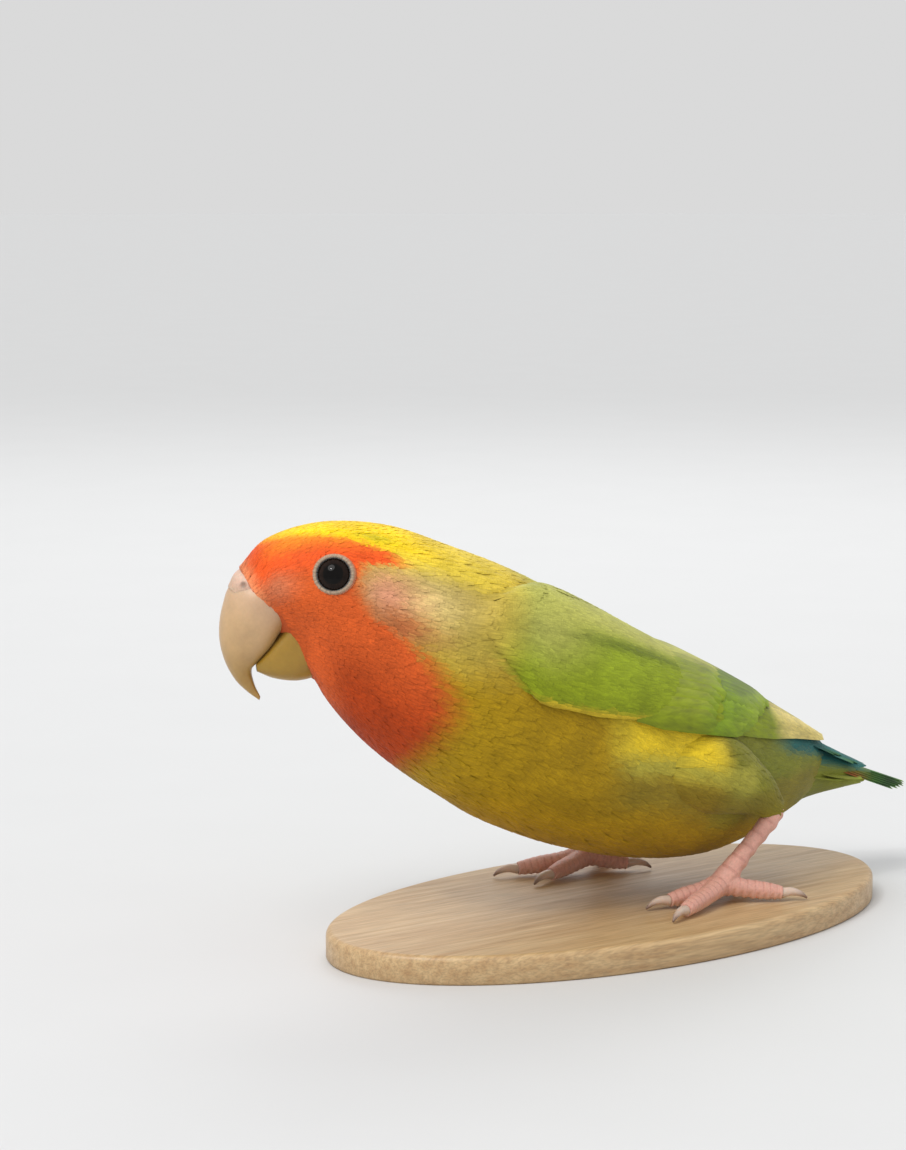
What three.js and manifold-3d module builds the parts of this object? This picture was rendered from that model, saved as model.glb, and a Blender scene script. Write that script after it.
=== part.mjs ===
// A peach-faced lovebird that leans forward in a low crouch, as a still life-size model on a plain oval base.
// Millimetres, +Z up. The bird faces -X with its left side towards -Y, and its head turns to its right.
// The origin is the centre of the base's underside.

import * as THREE from "three";
import { mergeVertices } from "three/addons/utils/BufferGeometryUtils.js";
import Module from "manifold-3d";

const wasm = await Module();
wasm.setup();

// Driving sizes
const GAP = 0.3; // clear space between neighbouring pieces
const BASE_LENGTH = 116;
const BASE_WIDTH = 62;
const BASE_THICK = 5;
const SOLE = BASE_THICK + GAP; // level of the soles
const TARSUS_RADIUS = 1.55;
const TOE_RADIUS = 1.5;
const CLAW_LENGTH = 5;
const EYE_RADIUS = 3.5;
const TAIL_LENGTH = 45;
const TAIL_SLOPE = THREE.MathUtils.degToRad(20);
const HEAD_TURN = THREE.MathUtils.degToRad(30);
const TURN_START = -30; // the neck starts to turn at this x
const TURN_LENGTH = 16; // and has turned in full this much further forward
const VANE_THICK = 0.6;
const VANE_TIP = 0.6; // a vane's tip is this share of its thickness

// Outlines in the side view of the bird before its head turns: the upper and the lower line at each
// station, as [x, z], and half the width there. The trunk runs from the bill's root to the tail's root.
const TRUNK = [
  { top: [-71.6, 68.6], low: [-58.9, 48.9], half: 6.4 },
  { top: [-66.8, 73.3], low: [-57.4, 46.0], half: 9.6 },
  { top: [-57.5, 75.9], low: [-54.2, 41.8], half: 11.6 },
  { top: [-46.0, 75.1], low: [-49.8, 37.2], half: 12.8 },
  { top: [-34.5, 71.0], low: [-44.3, 32.7], half: 14.4 },
  { top: [-23.0, 66.2], low: [-37.0, 27.6], half: 16.8 },
  { top: [-11.0, 60.0], low: [-27.0, 21.8], half: 18.8 },
  { top: [3.0, 52.8], low: [-12.8, 16.0], half: 19.4 },
  { top: [18.0, 45.6], low: [3.5, 11.8], half: 17.6 },
  { top: [30.0, 39.3], low: [19.5, 10.6], half: 13.6 },
  { top: [40.5, 33.6], low: [34.5, 14.0], half: 9.6 },
  { top: [49.0, 28.4], low: [46.5, 18.4], half: 4.8 },
];
const TRUNK_ROUND = { upper: 2.3, lower: 2.1 }; // 2 is an ellipse, and more is boxier
const HEAD_END = 3.2; // stations at which the head ends and the torso starts
const TORSO_START = 4.7;

// The wings lie on the trunk from the shoulder on, and past the rump on this narrowing shape above the tail.
const FIRST_WING_STATION = 4;
const PAST_RUMP = [
  { top: [49.0, 29.2], low: [44.0, 16.5], half: 7.2 },
  { top: [58.0, 24.8], low: [55.0, 16.5], half: 5.2 },
];

const UPPER_BILL = [
  { top: [-66.0, 69.0], low: [-57.5, 62.5], half: 4.8 },
  { top: [-72.6, 66.0], low: [-61.8, 61.0], half: 5.6 },
  { top: [-74.6, 61.8], low: [-64.6, 57.6], half: 5.5 },
  { top: [-75.2, 57.0], low: [-66.2, 54.9], half: 4.5 },
  { top: [-74.4, 52.7], low: [-68.3, 52.6], half: 3.4 },
  { top: [-72.6, 49.2], low: [-69.7, 51.0], half: 2.2 },
  { top: [-70.6, 47.1], low: [-69.3, 48.4], half: 1.2 },
  { top: [-68.5, 45.5], low: [-68.3, 46.1], half: 0.35 },
];
const LOWER_BILL = [
  { top: [-57.5, 61.0], low: [-55.5, 51.0], half: 4.3 },
  { top: [-62.0, 60.8], low: [-58.7, 49.6], half: 5.0 },
  { top: [-65.2, 57.4], low: [-62.2, 48.9], half: 4.7 },
  { top: [-67.4, 54.4], low: [-66.0, 49.4], half: 4.0 },
  { top: [-69.0, 52.4], low: [-68.9, 50.6], half: 2.8 },
];
const CERE = [
  { top: [-69.8, 69.6], low: [-66.2, 63.8], half: 4.2 },
  { top: [-72.6, 67.6], low: [-67.8, 62.8], half: 4.6 },
  { top: [-73.9, 65.2], low: [-69.4, 62.0], half: 3.7 },
];
const EYE = { x: -55.9, z: 67.8, out: 8.1, forward: 0.2, up: 0.26 };
const GAPE = { x: -68.4, z: 57.0, out: 9.0, radius: 6.7 }; // a dish in the cheek round the mouth's corner
const NOSTRIL = { x: -71.6, z: 66.6, out: 3.0, radius: 0.5, depth: 3, facing: [-0.7, 0.6, 0.4] };
const LID = { ring: 3.45, tube: 0.85, lift: 2.03 }; // lift is from the eye's centre out to the ring

// Small helpers
const vec = (x, y, z) => new THREE.Vector3(x, y, z);
const mix = THREE.MathUtils.lerp;
const smooth = (t) => THREE.MathUtils.smoothstep(t, 0, 1);
const radians = THREE.MathUtils.degToRad;

// A small seeded draw, so that repeated feathers differ a little and always the same way.
function seeded(seed) {
  let state = seed;
  return () => {
    state = (state * 16807) % 2147483647;
    return state / 2147483647 - 0.5;
  };
}

// Turns the neck and head: a point ahead of TURN_START moves as if the spine curved to the bird's right.
const TURN_STEPS = 16;
const turnTable = [vec(0, 0, 0)];
for (let i = 0; i < TURN_STEPS; i++) {
  const yaw = HEAD_TURN * smooth((i + 0.5) / TURN_STEPS);
  const last = turnTable[i];
  const step = TURN_LENGTH / TURN_STEPS;
  turnTable.push(vec(last.x - step * Math.cos(yaw), last.y + step * Math.sin(yaw), 0));
}
function turned(p) {
  const ahead = TURN_START - p.x;
  if (ahead <= 0) return p.clone();
  const share = Math.min(ahead / TURN_LENGTH, 1);
  const yaw = HEAD_TURN * smooth(share);
  const at = share * TURN_STEPS;
  const i = Math.min(Math.floor(at), TURN_STEPS - 1);
  const centre = turnTable[i].clone().lerp(turnTable[i + 1], at - i);
  const beyond = Math.max(ahead - TURN_LENGTH, 0);
  centre.add(vec(-beyond * Math.cos(yaw), beyond * Math.sin(yaw), 0));
  return vec(
    TURN_START + centre.x + p.y * Math.sin(yaw),
    centre.y + p.y * Math.cos(yaw),
    p.z,
  );
}

// A tube between an upper and a lower line. at(t) reads it between stations, and point() gives its surface:
// the angle is 0 at the left side, 90 at the upper line and -90 at the lower one.
class Tube {
  constructor(stations, { upper = 2, lower = 2 } = {}) {
    this.last = stations.length - 1;
    this.upper = upper;
    this.lower = lower;
    const line = (read) => {
      const curve = new THREE.CatmullRomCurve3(stations.map(read));
      curve.curveType = "catmullrom";
      return curve;
    };
    this.tops = line((s) => vec(s.top[0], 0, s.top[1]));
    this.lows = line((s) => vec(s.low[0], 0, s.low[1]));
    this.halves = line((s) => vec(s.half, 0, 0));
  }

  at(t) {
    const share = THREE.MathUtils.clamp(t / this.last, 0, 1);
    const top = this.tops.getPoint(share);
    const low = this.lows.getPoint(share);
    const rise = top.clone().sub(low).multiplyScalar(0.5);
    return {
      centre: top.add(low).multiplyScalar(0.5),
      up: rise.clone().normalize(),
      depth: rise.length(),
      half: this.halves.getPoint(share).x,
    };
  }

  point(t, angle, grow = 0, shrink = 1) {
    const s = this.at(t);
    const power = 2 / (Math.sin(angle) > 0 ? this.upper : this.lower);
    const side = Math.sign(Math.cos(angle)) * Math.abs(Math.cos(angle)) ** power;
    const rise = Math.sign(Math.sin(angle)) * Math.abs(Math.sin(angle)) ** power;
    return s.centre
      .clone()
      .addScaledVector(vec(0, -1, 0), side * (s.half + grow) * shrink)
      .addScaledVector(s.up, rise * (s.depth + grow) * shrink);
  }

  // The way along the tube at t, from its first station to its last.
  along(t) {
    const up = this.at(t).up;
    return vec(up.z, 0, -up.x);
  }
}

// A closed geometry through rings of points, with each end closed on its middle.
function ringsGeometry(rings) {
  const sides = rings[0].length;
  const middle = (ring) =>
    ring.reduce((sum, p) => sum.add(p), vec(0, 0, 0)).divideScalar(sides);
  const points = [...rings.flat(), middle(rings[0]), middle(rings.at(-1))];
  const first = rings.length * sides;
  const index = [];
  for (let k = 0; k < sides; k++) {
    const next = (k + 1) % sides;
    index.push(first, next, k);
    for (let i = 0; i + 1 < rings.length; i++) {
      const a = i * sides + k;
      const b = i * sides + next;
      index.push(a, b, b + sides, a, b + sides, a + sides);
    }
    const start = (rings.length - 1) * sides;
    index.push(first + 1, start + k, start + next);
  }
  return new THREE.BufferGeometry().setFromPoints(points).setIndex(index);
}

// three.js geometry to a manifold solid, and back.
function solid(geometry, place = (p) => p) {
  const bare = new THREE.BufferGeometry();
  const source = geometry.getAttribute("position");
  const moved = [];
  for (let i = 0; i < source.count; i++) {
    moved.push(...place(vec(0, 0, 0).fromBufferAttribute(source, i)).toArray());
  }
  bare.setAttribute("position", new THREE.Float32BufferAttribute(moved, 3));
  if (geometry.index) bare.setIndex(geometry.index);
  const merged = mergeVertices(bare, 1e-4);
  const mesh = new wasm.Mesh({
    numProp: 3,
    vertProperties: merged.attributes.position.array,
    triVerts: new Uint32Array(merged.index.array),
  });
  const made = new wasm.Manifold(mesh);
  if (made.volume() > 0) return made;
  // A mirrored placing turns the faces inside out, so each triangle is read the other way round.
  for (let i = 0; i < mesh.triVerts.length; i += 3) {
    mesh.triVerts.subarray(i + 1, i + 3).reverse();
  }
  return new wasm.Manifold(mesh);
}
const joined = (solids) => solids.reduce((sum, s) => sum.add(s));
const largest = (made) =>
  made.decompose().reduce((a, b) => (b.volume() > a.volume() ? b : a));

// A stretch of a tube, with flat or domed ends. dome is how far an end bulges past its last section.
function tubeSolid(tube, from, to, options = {}) {
  const { sides = 24, steps = 12, grow = 0, domeStart = 0, domeEnd = 0, place } = options;
  const ring = (t, shrink, push) =>
    Array.from({ length: sides }, (_, k) =>
      tube.point(t, (k / sides) * 2 * Math.PI, grow, shrink).addScaledVector(tube.along(t), push),
    );
  const rings = [];
  const DOME = [70, 45, 22];
  if (domeStart) {
    for (const a of DOME) {
      rings.push(ring(from, Math.cos(radians(a)), -(domeStart + grow) * Math.sin(radians(a))));
    }
  }
  for (let i = 0; i <= steps; i++) rings.push(ring(mix(from, to, i / steps), 1, 0));
  if (domeEnd) {
    for (const a of [...DOME].reverse()) {
      rings.push(ring(to, Math.cos(radians(a)), (domeEnd + grow) * Math.sin(radians(a))));
    }
  }
  return solid(ringsGeometry(rings), place);
}

// A round, tapered limb through points: radii run along it, and its ends are flat.
function limb(points, radii, { sides = 10, steps = 8, squash = 1 } = {}) {
  const path = new THREE.CatmullRomCurve3(points);
  const sizes = new THREE.CatmullRomCurve3(radii.map((r) => vec(r, 0, 0)));
  const rings = [];
  for (let i = 0; i <= steps; i++) {
    const t = i / steps;
    const centre = path.getPoint(t);
    const along = path.getTangent(t);
    const side = vec(0, 0, 1).cross(along).normalize();
    const up = along.clone().cross(side).normalize();
    const r = sizes.getPoint(t).x;
    rings.push(
      Array.from({ length: sides }, (_, k) => {
        const a = (k / sides) * 2 * Math.PI;
        return centre
          .clone()
          .addScaledVector(side, r * squash * Math.cos(a))
          .addScaledVector(up, r * Math.sin(a));
      }),
    );
  }
  return solid(ringsGeometry(rings));
}

// A flat feather vane. place(along, across, raise) gives its points; both faces are split alike.
const VANE_ROWS = [0, 0.38, 0.74, 0.93, 1];
const VANE_WIDTHS = [0.62, 0.96, 0.98, 0.66, 0.28];
function vane(place, thick = VANE_THICK) {
  const points = [];
  VANE_ROWS.forEach((t, i) => {
    const w = VANE_WIDTHS[i];
    const h = i === VANE_ROWS.length - 1 ? thick * VANE_TIP : thick;
    points.push(place(t, -w, 0), place(t, w, 0), place(t, w, h), place(t, -w, h));
  });
  const index = [0, 1, 2, 0, 2, 3];
  const rows = VANE_ROWS.length - 1;
  for (let i = 0; i < rows; i++) {
    const a = i * 4;
    index.push(a, a + 5, a + 1, a, a + 4, a + 5); // lower face
    index.push(a + 3, a + 2, a + 6, a + 3, a + 6, a + 7); // upper face, with the same diagonal
    index.push(a + 1, a + 5, a + 6, a + 1, a + 6, a + 2);
    index.push(a, a + 3, a + 7, a, a + 7, a + 4);
  }
  const end = rows * 4;
  index.push(end, end + 2, end + 1, end, end + 3, end + 2);
  return solid(new THREE.BufferGeometry().setFromPoints(points).setIndex(index));
}

// Materials
const look = (color, roughness, metalness = 0) =>
  new THREE.MeshStandardMaterial({ color, roughness, metalness });
const LOOKS = {
  face: look(0xe8562a, 0.8),
  breast: look(0xc6c43c, 0.8),
  back: look(0x8fae2c, 0.8),
  wing: look(0x6f9e22, 0.7),
  tail: look(0x3f8f62, 0.7),
  bill: look(0xe9dcc4, 0.4),
  cere: look(0xe8cfc4, 0.6),
  eye: look(0x120d0b, 0.08),
  skin: look(0xe2b3a4, 0.6),
  claw: look(0xb9a79b, 0.45),
  stand: look(0xcdb58c, 0.5),
};

const bird = new THREE.Group();
function add(name, made, material) {
  const mesh = largest(made).getMesh();
  const positions = [];
  for (let i = 0; i < mesh.numVert; i++) {
    const at = i * mesh.numProp;
    positions.push(...mesh.vertProperties.subarray(at, at + 3));
  }
  const geometry = new THREE.BufferGeometry();
  geometry.setAttribute("position", new THREE.Float32BufferAttribute(positions, 3));
  geometry.setIndex(new THREE.BufferAttribute(mesh.triVerts, 1));
  geometry.computeVertexNormals();
  const part = new THREE.Mesh(geometry, material);
  part.name = name;
  bird.add(part);
}

// Trunk: head, neck and torso
const trunk = new Tube(TRUNK, TRUNK_ROUND);
const trunkEnd = trunk.last;
const BETWEEN = 0.045; // stations between two trunk pieces, a little over GAP at the throat
const FACE_DOME = 1.2;
const RUMP_DOME = 1;
const TOUCH = 0.1; // added to GAP where a curved surface is cut back from a coarser one
const HEAD = { sides: 26, steps: 11, domeStart: FACE_DOME, place: turned };
const NECK = { sides: 26, steps: 5, place: turned };
const TORSO = { sides: 26, steps: 14, domeEnd: RUMP_DOME, place: turned };
const torso = (grow = 0) => tubeSolid(trunk, TORSO_START + BETWEEN, trunkEnd, { ...TORSO, grow });
const neck = (grow = 0) => tubeSolid(trunk, HEAD_END + BETWEEN, TORSO_START, { ...NECK, grow });
function ball(centre, radius, detail = 16) {
  const geometry = new THREE.SphereGeometry(radius, detail, detail * 0.5);
  return solid(geometry, (p) => turned(p.add(centre)));
}
// The cheeks dip round the corners of the mouth, so that the bill's sides show there.
function head(grow = 0) {
  let made = tubeSolid(trunk, 0, HEAD_END, { ...HEAD, grow });
  for (const side of [1, -1]) {
    made = made.subtract(ball(vec(GAPE.x, -side * GAPE.out, GAPE.z), GAPE.radius - grow, 20));
  }
  return made;
}
// The torso and neck with no joint between them, grown by the gap: what a wing or a leg is cut back from.
const bodyClear = tubeSolid(trunk, HEAD_END, trunkEnd, {
  ...TORSO,
  steps: 26,
  grow: GAP + TOUCH,
});

// Eyes and lids
function eyeFrame(side) {
  const centre = vec(EYE.x, -side * EYE.out, EYE.z);
  const outward = vec(-EYE.forward, -side, EYE.up).normalize();
  return { centre, outward };
}
function lid(side) {
  const { centre, outward } = eyeFrame(side);
  const turn = new THREE.Quaternion().setFromUnitVectors(vec(0, 0, 1), outward);
  const ring = new THREE.TorusGeometry(LID.ring, LID.tube, 7, 20);
  return solid(ring, (p) =>
    turned(p.applyQuaternion(turn).add(centre).addScaledVector(outward, LID.lift)),
  );
}
function makeHead() {
  let made = head();
  for (const side of [1, -1]) made = made.add(lid(side));
  for (const side of [1, -1]) {
    made = made.subtract(ball(eyeFrame(side).centre, EYE_RADIUS + GAP));
  }
  add("head", made, LOOKS.face);
  for (const [name, side] of [["left", 1], ["right", -1]]) {
    add("eye_" + name, ball(eyeFrame(side).centre, EYE_RADIUS), LOOKS.eye);
  }
}

// Bill and cere, each cut back from what it meets
function makeBill() {
  const upper = new Tube(UPPER_BILL, { upper: 1.9, lower: 3 });
  const lower = new Tube(LOWER_BILL, { upper: 3.2, lower: 2.4 });
  const cere = new Tube(CERE, { upper: 2.2, lower: 2.2 });
  const shape = { sides: 16, steps: 13, place: turned };
  const headClear = head(GAP);
  const upperSolid = tubeSolid(upper, 0, upper.last, shape).subtract(headClear);
  const upperClear = tubeSolid(upper, 0, upper.last, { ...shape, grow: GAP + TOUCH / 2 });
  const lowerSolid = tubeSolid(lower, 0, lower.last, { ...shape, steps: 9 });
  let cereSolid = tubeSolid(cere, 0, cere.last, { ...shape, steps: 4, domeStart: 1, domeEnd: 0.8 });
  for (const side of [1, -1]) {
    const pit = new THREE.CylinderGeometry(NOSTRIL.radius, NOSTRIL.radius, NOSTRIL.depth, 10);
    const [ahead, out, up] = NOSTRIL.facing;
    const facing = vec(ahead, -side * out, up).normalize();
    const tilt = new THREE.Quaternion().setFromUnitVectors(vec(0, 1, 0), facing);
    const centre = vec(NOSTRIL.x, -side * NOSTRIL.out, NOSTRIL.z);
    cereSolid = cereSolid.subtract(
      solid(pit, (p) => turned(p.applyQuaternion(tilt).add(centre))),
    );
  }
  add("bill_upper", upperSolid, LOOKS.bill);
  add("bill_lower", lowerSolid.subtract(headClear).subtract(upperClear), LOOKS.bill);
  add("cere", cereSolid.subtract(headClear).subtract(upperClear), LOOKS.cere);
}

// Wings. The sheet under the feathers is the trunk's own surface from the shoulder on, then PAST_RUMP.
const sheet = new Tube([...TRUNK.slice(FIRST_WING_STATION, -1), ...PAST_RUMP], TRUNK_ROUND);
// The wing thins towards its upper edge, to this share of its height there, between these angles.
const EDGE_THIN = 0.5;
const THIN_FROM = 40;
const THIN_TO = 80;
// A point on the sheet, raised by n, for a place s stations behind the shoulder at an angle in degrees.
function onSheet(s, angle, n) {
  const a = radians(angle);
  const nudge = 0.01;
  const raised = n * mix(1, EDGE_THIN, smooth((angle - THIN_FROM) / (THIN_TO - THIN_FROM)));
  const here = sheet.point(s, a);
  const back = sheet.point(s + nudge, a).sub(sheet.point(s - nudge, a));
  const over = sheet.point(s, a + nudge).sub(sheet.point(s, a - nudge));
  return here.addScaledVector(back.cross(over).normalize(), raised);
}
// The wing's lower and upper edges, as angles on the sheet at each of its stations.
const LOWER_EDGE = [5, -2, 4, 14, 24, 34, 50, 70, 78];
const UPPER_EDGE = [46, 64, 76, 83, 87, 88, 87, 85, 84];
function edgeAngle(edge, s) {
  const at = THREE.MathUtils.clamp(s, 0, edge.length - 1.001);
  const i = Math.floor(at);
  return mix(edge[i], edge[i + 1], at - i);
}
const across = (s, share) => mix(edgeAngle(LOWER_EDGE, s), edgeAngle(UPPER_EDGE, s), share);

// The rows of wing feathers, from the lowest to the highest. Along the wing, root and tip are stations behind
// the shoulder, each from the row's lowest feather to its highest. Across it, rootSpan and tipSpan are shares
// from the lower edge to the upper one. raise is the lowest feather's height, and step what each next adds.
const WING_ROWS = [
  { count: 6, root: [3.2, 3.7], tip: [6.9, 5.7], rootSpan: [0.1, 0.36], tipSpan: [0.14, 0.7] },
  { count: 5, root: [2.6, 3.4], tip: [4.3, 5.0], rootSpan: [0.1, 0.6], tipSpan: [0.08, 0.5] },
  { count: 3, root: [3.3, 3.5], tip: [5.1, 5.4], rootSpan: [0.7, 0.93], tipSpan: [0.62, 0.92] },
  { count: 6, root: [1.9, 2.8], tip: [3.2, 3.8], rootSpan: [0.08, 0.92], tipSpan: [0.07, 0.91] },
  { count: 5, root: [1.2, 1.8], tip: [2.3, 2.7], rootSpan: [0.09, 0.9], tipSpan: [0.09, 0.9] },
];
const ROW_LAYERS = [
  { width: 3.1, raise: 0.4, step: 0.1 },
  { width: 3.7, raise: 1.0, step: 0.08 },
  { width: 3.4, raise: 1.6, step: 0.1 },
  { width: 3.6, raise: 1.9, step: 0.06 },
  { width: 3.6, raise: 2.5, step: 0.05 },
];
const SHINGLE = 0.35; // a feather's upper edge lies this much above its shaft, and its lower edge below
const ROOT_DROP = 0.9; // how much lower a root lies than its feather's tip, so that it sinks into the core
const ROOT_RUN = 0.45; // the share of a feather over which it rises out of the core
const SWEEP = 1.15; // how late along it a feather swings from its root's place across the wing to its tip's
const REACH_SPREAD = 0.12; // stations between the shortest and the longest feather, over what its row gives
const STEP_AHEAD = 0.05; // stations to the point that gives a feather's direction
function wingFeathers(draw) {
  const made = [];
  WING_ROWS.forEach((row, level) => {
    const { width, raise, step } = ROW_LAYERS[level];
    for (let k = 0; k < row.count; k++) {
      const share = k / (row.count - 1);
      const span = (pair) => mix(pair[0], pair[1], share);
      const reach = span(row.tip) + draw() * REACH_SPREAD;
      made.push(
        vane((t, w, h) => {
          const s = mix(span(row.root), reach, t);
          const place = mix(span(row.rootSpan), span(row.tipSpan), t ** SWEEP);
          const n = raise + step * k - ROOT_DROP * (1 - smooth(t / ROOT_RUN)) + h;
          const centre = onSheet(s, across(s, place), n);
          const ahead = onSheet(s + STEP_AHEAD, across(s + STEP_AHEAD, place), n);
          const along = ahead.sub(centre).normalize();
          const up = onSheet(s, across(s, place), n + 1).sub(centre).normalize();
          const side = along.cross(up).normalize();
          return centre.addScaledVector(side, w * width).addScaledVector(up, w * SHINGLE);
        }),
      );
    }
  });
  return made;
}
// The arm: a cushion over the front of the wing, from which every feather grows. It is round at its front and
// over its edges, and its height falls from front to rear.
const ARM = { start: 0.3, end: 3.7, rear: 1.15, front: 2.1, below: -0.6 };
const ARM_POINT = 0.06; // its width at the very front, as a share of the wing's
const ARM_ROUND = 4; // the rows over which its front rounds out to the wing's full width
const ARM_FALL = { from: 0.3, over: 0.7 }; // shares along it between which its height falls
function arm() {
  const rows = 9;
  const columns = 7;
  const upper = [];
  const lower = [];
  for (let i = 0; i <= rows; i++) {
    const s = mix(ARM.start, ARM.end, (i / rows) ** 1.6);
    const narrow = mix(ARM_POINT, 1, Math.sqrt(1 - (1 - Math.min(i / ARM_ROUND, 1)) ** 2));
    const full = 1 - smooth((i / rows - ARM_FALL.from) / ARM_FALL.over);
    for (let j = 0; j <= columns; j++) {
      const place = mix(0.5, j / columns, narrow);
      const round = Math.sqrt(Math.max(0, 1 - (2 * j / columns - 1) ** 4));
      const high = (ARM.rear / 2 + ARM.front * full) * round * narrow;
      upper.push(onSheet(s, across(s, place), ARM.rear / 2 + high));
      lower.push(onSheet(s, across(s, place), ARM.below));
    }
  }
  const count = upper.length;
  const wide = columns + 1;
  const index = [];
  for (let i = 0; i < rows; i++) {
    for (let j = 0; j < columns; j++) {
      const a = i * wide + j;
      index.push(a, a + 1, a + wide + 1, a, a + wide + 1, a + wide);
      const b = a + count;
      index.push(b, b + wide + 1, b + 1, b, b + wide, b + wide + 1);
    }
  }
  const rim = [];
  for (let j = 0; j < columns; j++) rim.push(j);
  for (let i = 0; i < rows; i++) rim.push(i * wide + columns);
  for (let j = columns; j > 0; j--) rim.push(rows * wide + j);
  for (let i = rows; i > 0; i--) rim.push(i * wide);
  rim.forEach((a, k) => {
    const b = rim[(k + 1) % rim.length];
    index.push(a, b + count, b, a, a + count, b + count);
  });
  const points = [...upper, ...lower];
  return solid(new THREE.BufferGeometry().setFromPoints(points).setIndex(index));
}
const MIDLINE_BLOCK = new THREE.BoxGeometry(2 * BASE_LENGTH, 2 * GAP, 2 * BASE_LENGTH);
function makeWings(tailClear) {
  for (const [name, side, seed] of [["left", 1, 11], ["right", -1, 29]]) {
    let made = joined([arm(), ...wingFeathers(seeded(seed))]);
    if (side < 0) made = made.mirror([0, 1, 0]);
    made = made.subtract(bodyClear).subtract(tailClear).subtract(solid(MIDLINE_BLOCK));
    made = made.subtract(placeLeg(thigh(GAP), side));
    add("wing_" + name, made, LOOKS.wing);
  }
}

// Tail: pairs of feathers over a short core, with coverts above and below
const TAIL_ROOT = vec(29, 0, 32.6);
const tailAlong = vec(Math.cos(TAIL_SLOPE), 0, -Math.sin(TAIL_SLOPE));
const tailUp = vec(Math.sin(TAIL_SLOPE), 0, Math.cos(TAIL_SLOPE));
const tailPoint = (along, left, up) =>
  TAIL_ROOT.clone()
    .addScaledVector(tailAlong, along)
    .addScaledVector(vec(0, -1, 0), left)
    .addScaledVector(tailUp, up);
const TAIL_CROWN = 0.012; // how fast the tail falls away at its sides
const TAIL_PAIRS = 6;
const TAIL_START = 23;
// The middle pair of feathers, and what each next pair out adds to it.
const PAIR = { left: 0.9, width: 2.7, fan: 0.8, stagger: 0.15 };
const PAIR_STEP = { left: 0.42, fan: 1.25, up: -0.34, shorter: 0.45, taper: 0.4 };
const TAIL_SPREAD = 0.5; // millimetres between the shortest and the longest tip, over what the pair gives
// Coverts over and under the tail's root, three of each. aside is a feather's place, and shorter what the
// outer ones lack in length.
const COVERT_PLACES = [-1.6, 0, 1.6];
const OVER_TAIL = { start: 15, end: 33, shorter: 2, aside: 1.8, fan: 1.6, width: 2.6, up: 0.75, droop: 0.4 };
const UNDER_TAIL = {
  start: 17, end: 36, shorter: 2.2, aside: 1.9, fan: 1.5, width: 2.8, up: -3.6, droop: -0.7,
};
function tailVane({ start, end, left, fan, width, up, droop = 0, thick = VANE_THICK }) {
  return vane((t, w, h) => {
    const run = mix(start, end, t);
    const side = left + (run - start) * Math.sin(fan) + w * width;
    const crown = -TAIL_CROWN * side * side;
    return tailPoint(run, side, up + crown + h - droop * t * t);
  }, thick);
}
function tailSolid() {
  const made = [];
  const draw = seeded(5);
  for (let k = TAIL_PAIRS - 1; k >= 0; k--) {
    for (const side of [1, -1]) {
      made.push(
        tailVane({
          start: TAIL_START,
          end: TAIL_LENGTH - PAIR_STEP.shorter * k * (k * PAIR_STEP.taper + 1) + draw() * TAIL_SPREAD,
          left: side * (PAIR.left + PAIR_STEP.left * k),
          fan: side * radians(PAIR.fan + PAIR_STEP.fan * k),
          width: PAIR.width,
          up: PAIR_STEP.up * k + (side > 0 ? PAIR.stagger : 0),
        }),
      );
    }
  }
  for (const row of [OVER_TAIL, UNDER_TAIL]) {
    for (const k of COVERT_PLACES) {
      const end = row.end - Math.abs(k) * row.shorter;
      made.push(tailVane({ ...row, end, left: k * row.aside, fan: radians(k * row.fan) }));
    }
  }
  const core = new Tube([
    { top: [43.5, 27.6], low: [42.0, 17.0], half: 6.0 },
    { top: [50.0, 25.7], low: [48.5, 18.4], half: 5.4 },
    { top: [56.0, 23.2], low: [55.5, 19.8], half: 4.4 },
  ]);
  made.push(tubeSolid(core, 0, core.last, { sides: 16, steps: 4 }));
  return joined(made);
}

// Legs. Places are for the left leg; the right one mirrors them, a step further forward.
const ANKLE = vec(24.5, -16.6, 20.0);
const FOOT = vec(12.6, -16.0, 8.6);
const THIGH = [
  { at: vec(-9.0, -13.6, 33.0), radius: 2.0 },
  { at: vec(0.5, -14.6, 31.6), radius: 6.2 },
  { at: vec(10.5, -14.8, 29.0), radius: 7.6 },
  { at: vec(19.5, -15.4, 24.8), radius: 5.0 },
  { at: vec(25.0, -16.6, 20.4), radius: 2.2 },
];
const TOES = [
  { way: [0.86, 0.42], length: 7.5 },
  { way: [-0.98, 0.2], length: 10.5 },
  { way: [-0.93, -0.37], length: 13.5 },
  { way: [0.88, -0.5], length: 11 },
];
const STRIDE = -5;
// Middle lines of a toe and a claw: the share of its length, and the height above the soles.
const TOE_LINE = [[0, 3.2], [0.35, 2.3], [0.7, 1.75], [1, 1.25]];
const CLAW_LINE = [[0, 1.25], [0.35, 1.45], [0.7, 1.0], [0.93, 0.2]];
const TOE_RADII = [2.0, TOE_RADIUS + 0.1, TOE_RADIUS, 1.15];
const SHANK_RADII = [1.9, TARSUS_RADIUS, 2.1];
const CLAW_RADII = [0.95, 0.75, 0.5, 0.18];
function toePath(toe) {
  const way = vec(toe.way[0], toe.way[1], 0).normalize();
  const at = ([share, high]) =>
    FOOT.clone().addScaledVector(way, toe.length * share).setZ(SOLE + high);
  return TOE_LINE.map(at);
}
function clawPath(toe) {
  const way = vec(toe.way[0], toe.way[1], 0).normalize();
  const end = toePath(toe).at(-1);
  const at = ([share, high]) =>
    end.clone().addScaledVector(way, GAP + CLAW_LENGTH * share).setZ(SOLE + high);
  return CLAW_LINE.map(at);
}
const UNDER = 20; // half the height of the block that levels the soles
const underBlock = new THREE.BoxGeometry(2 * BASE_LENGTH, 2 * BASE_LENGTH, 2 * UNDER);
const under = solid(underBlock, (p) => p.add(vec(0, 0, SOLE - UNDER)));
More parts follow.
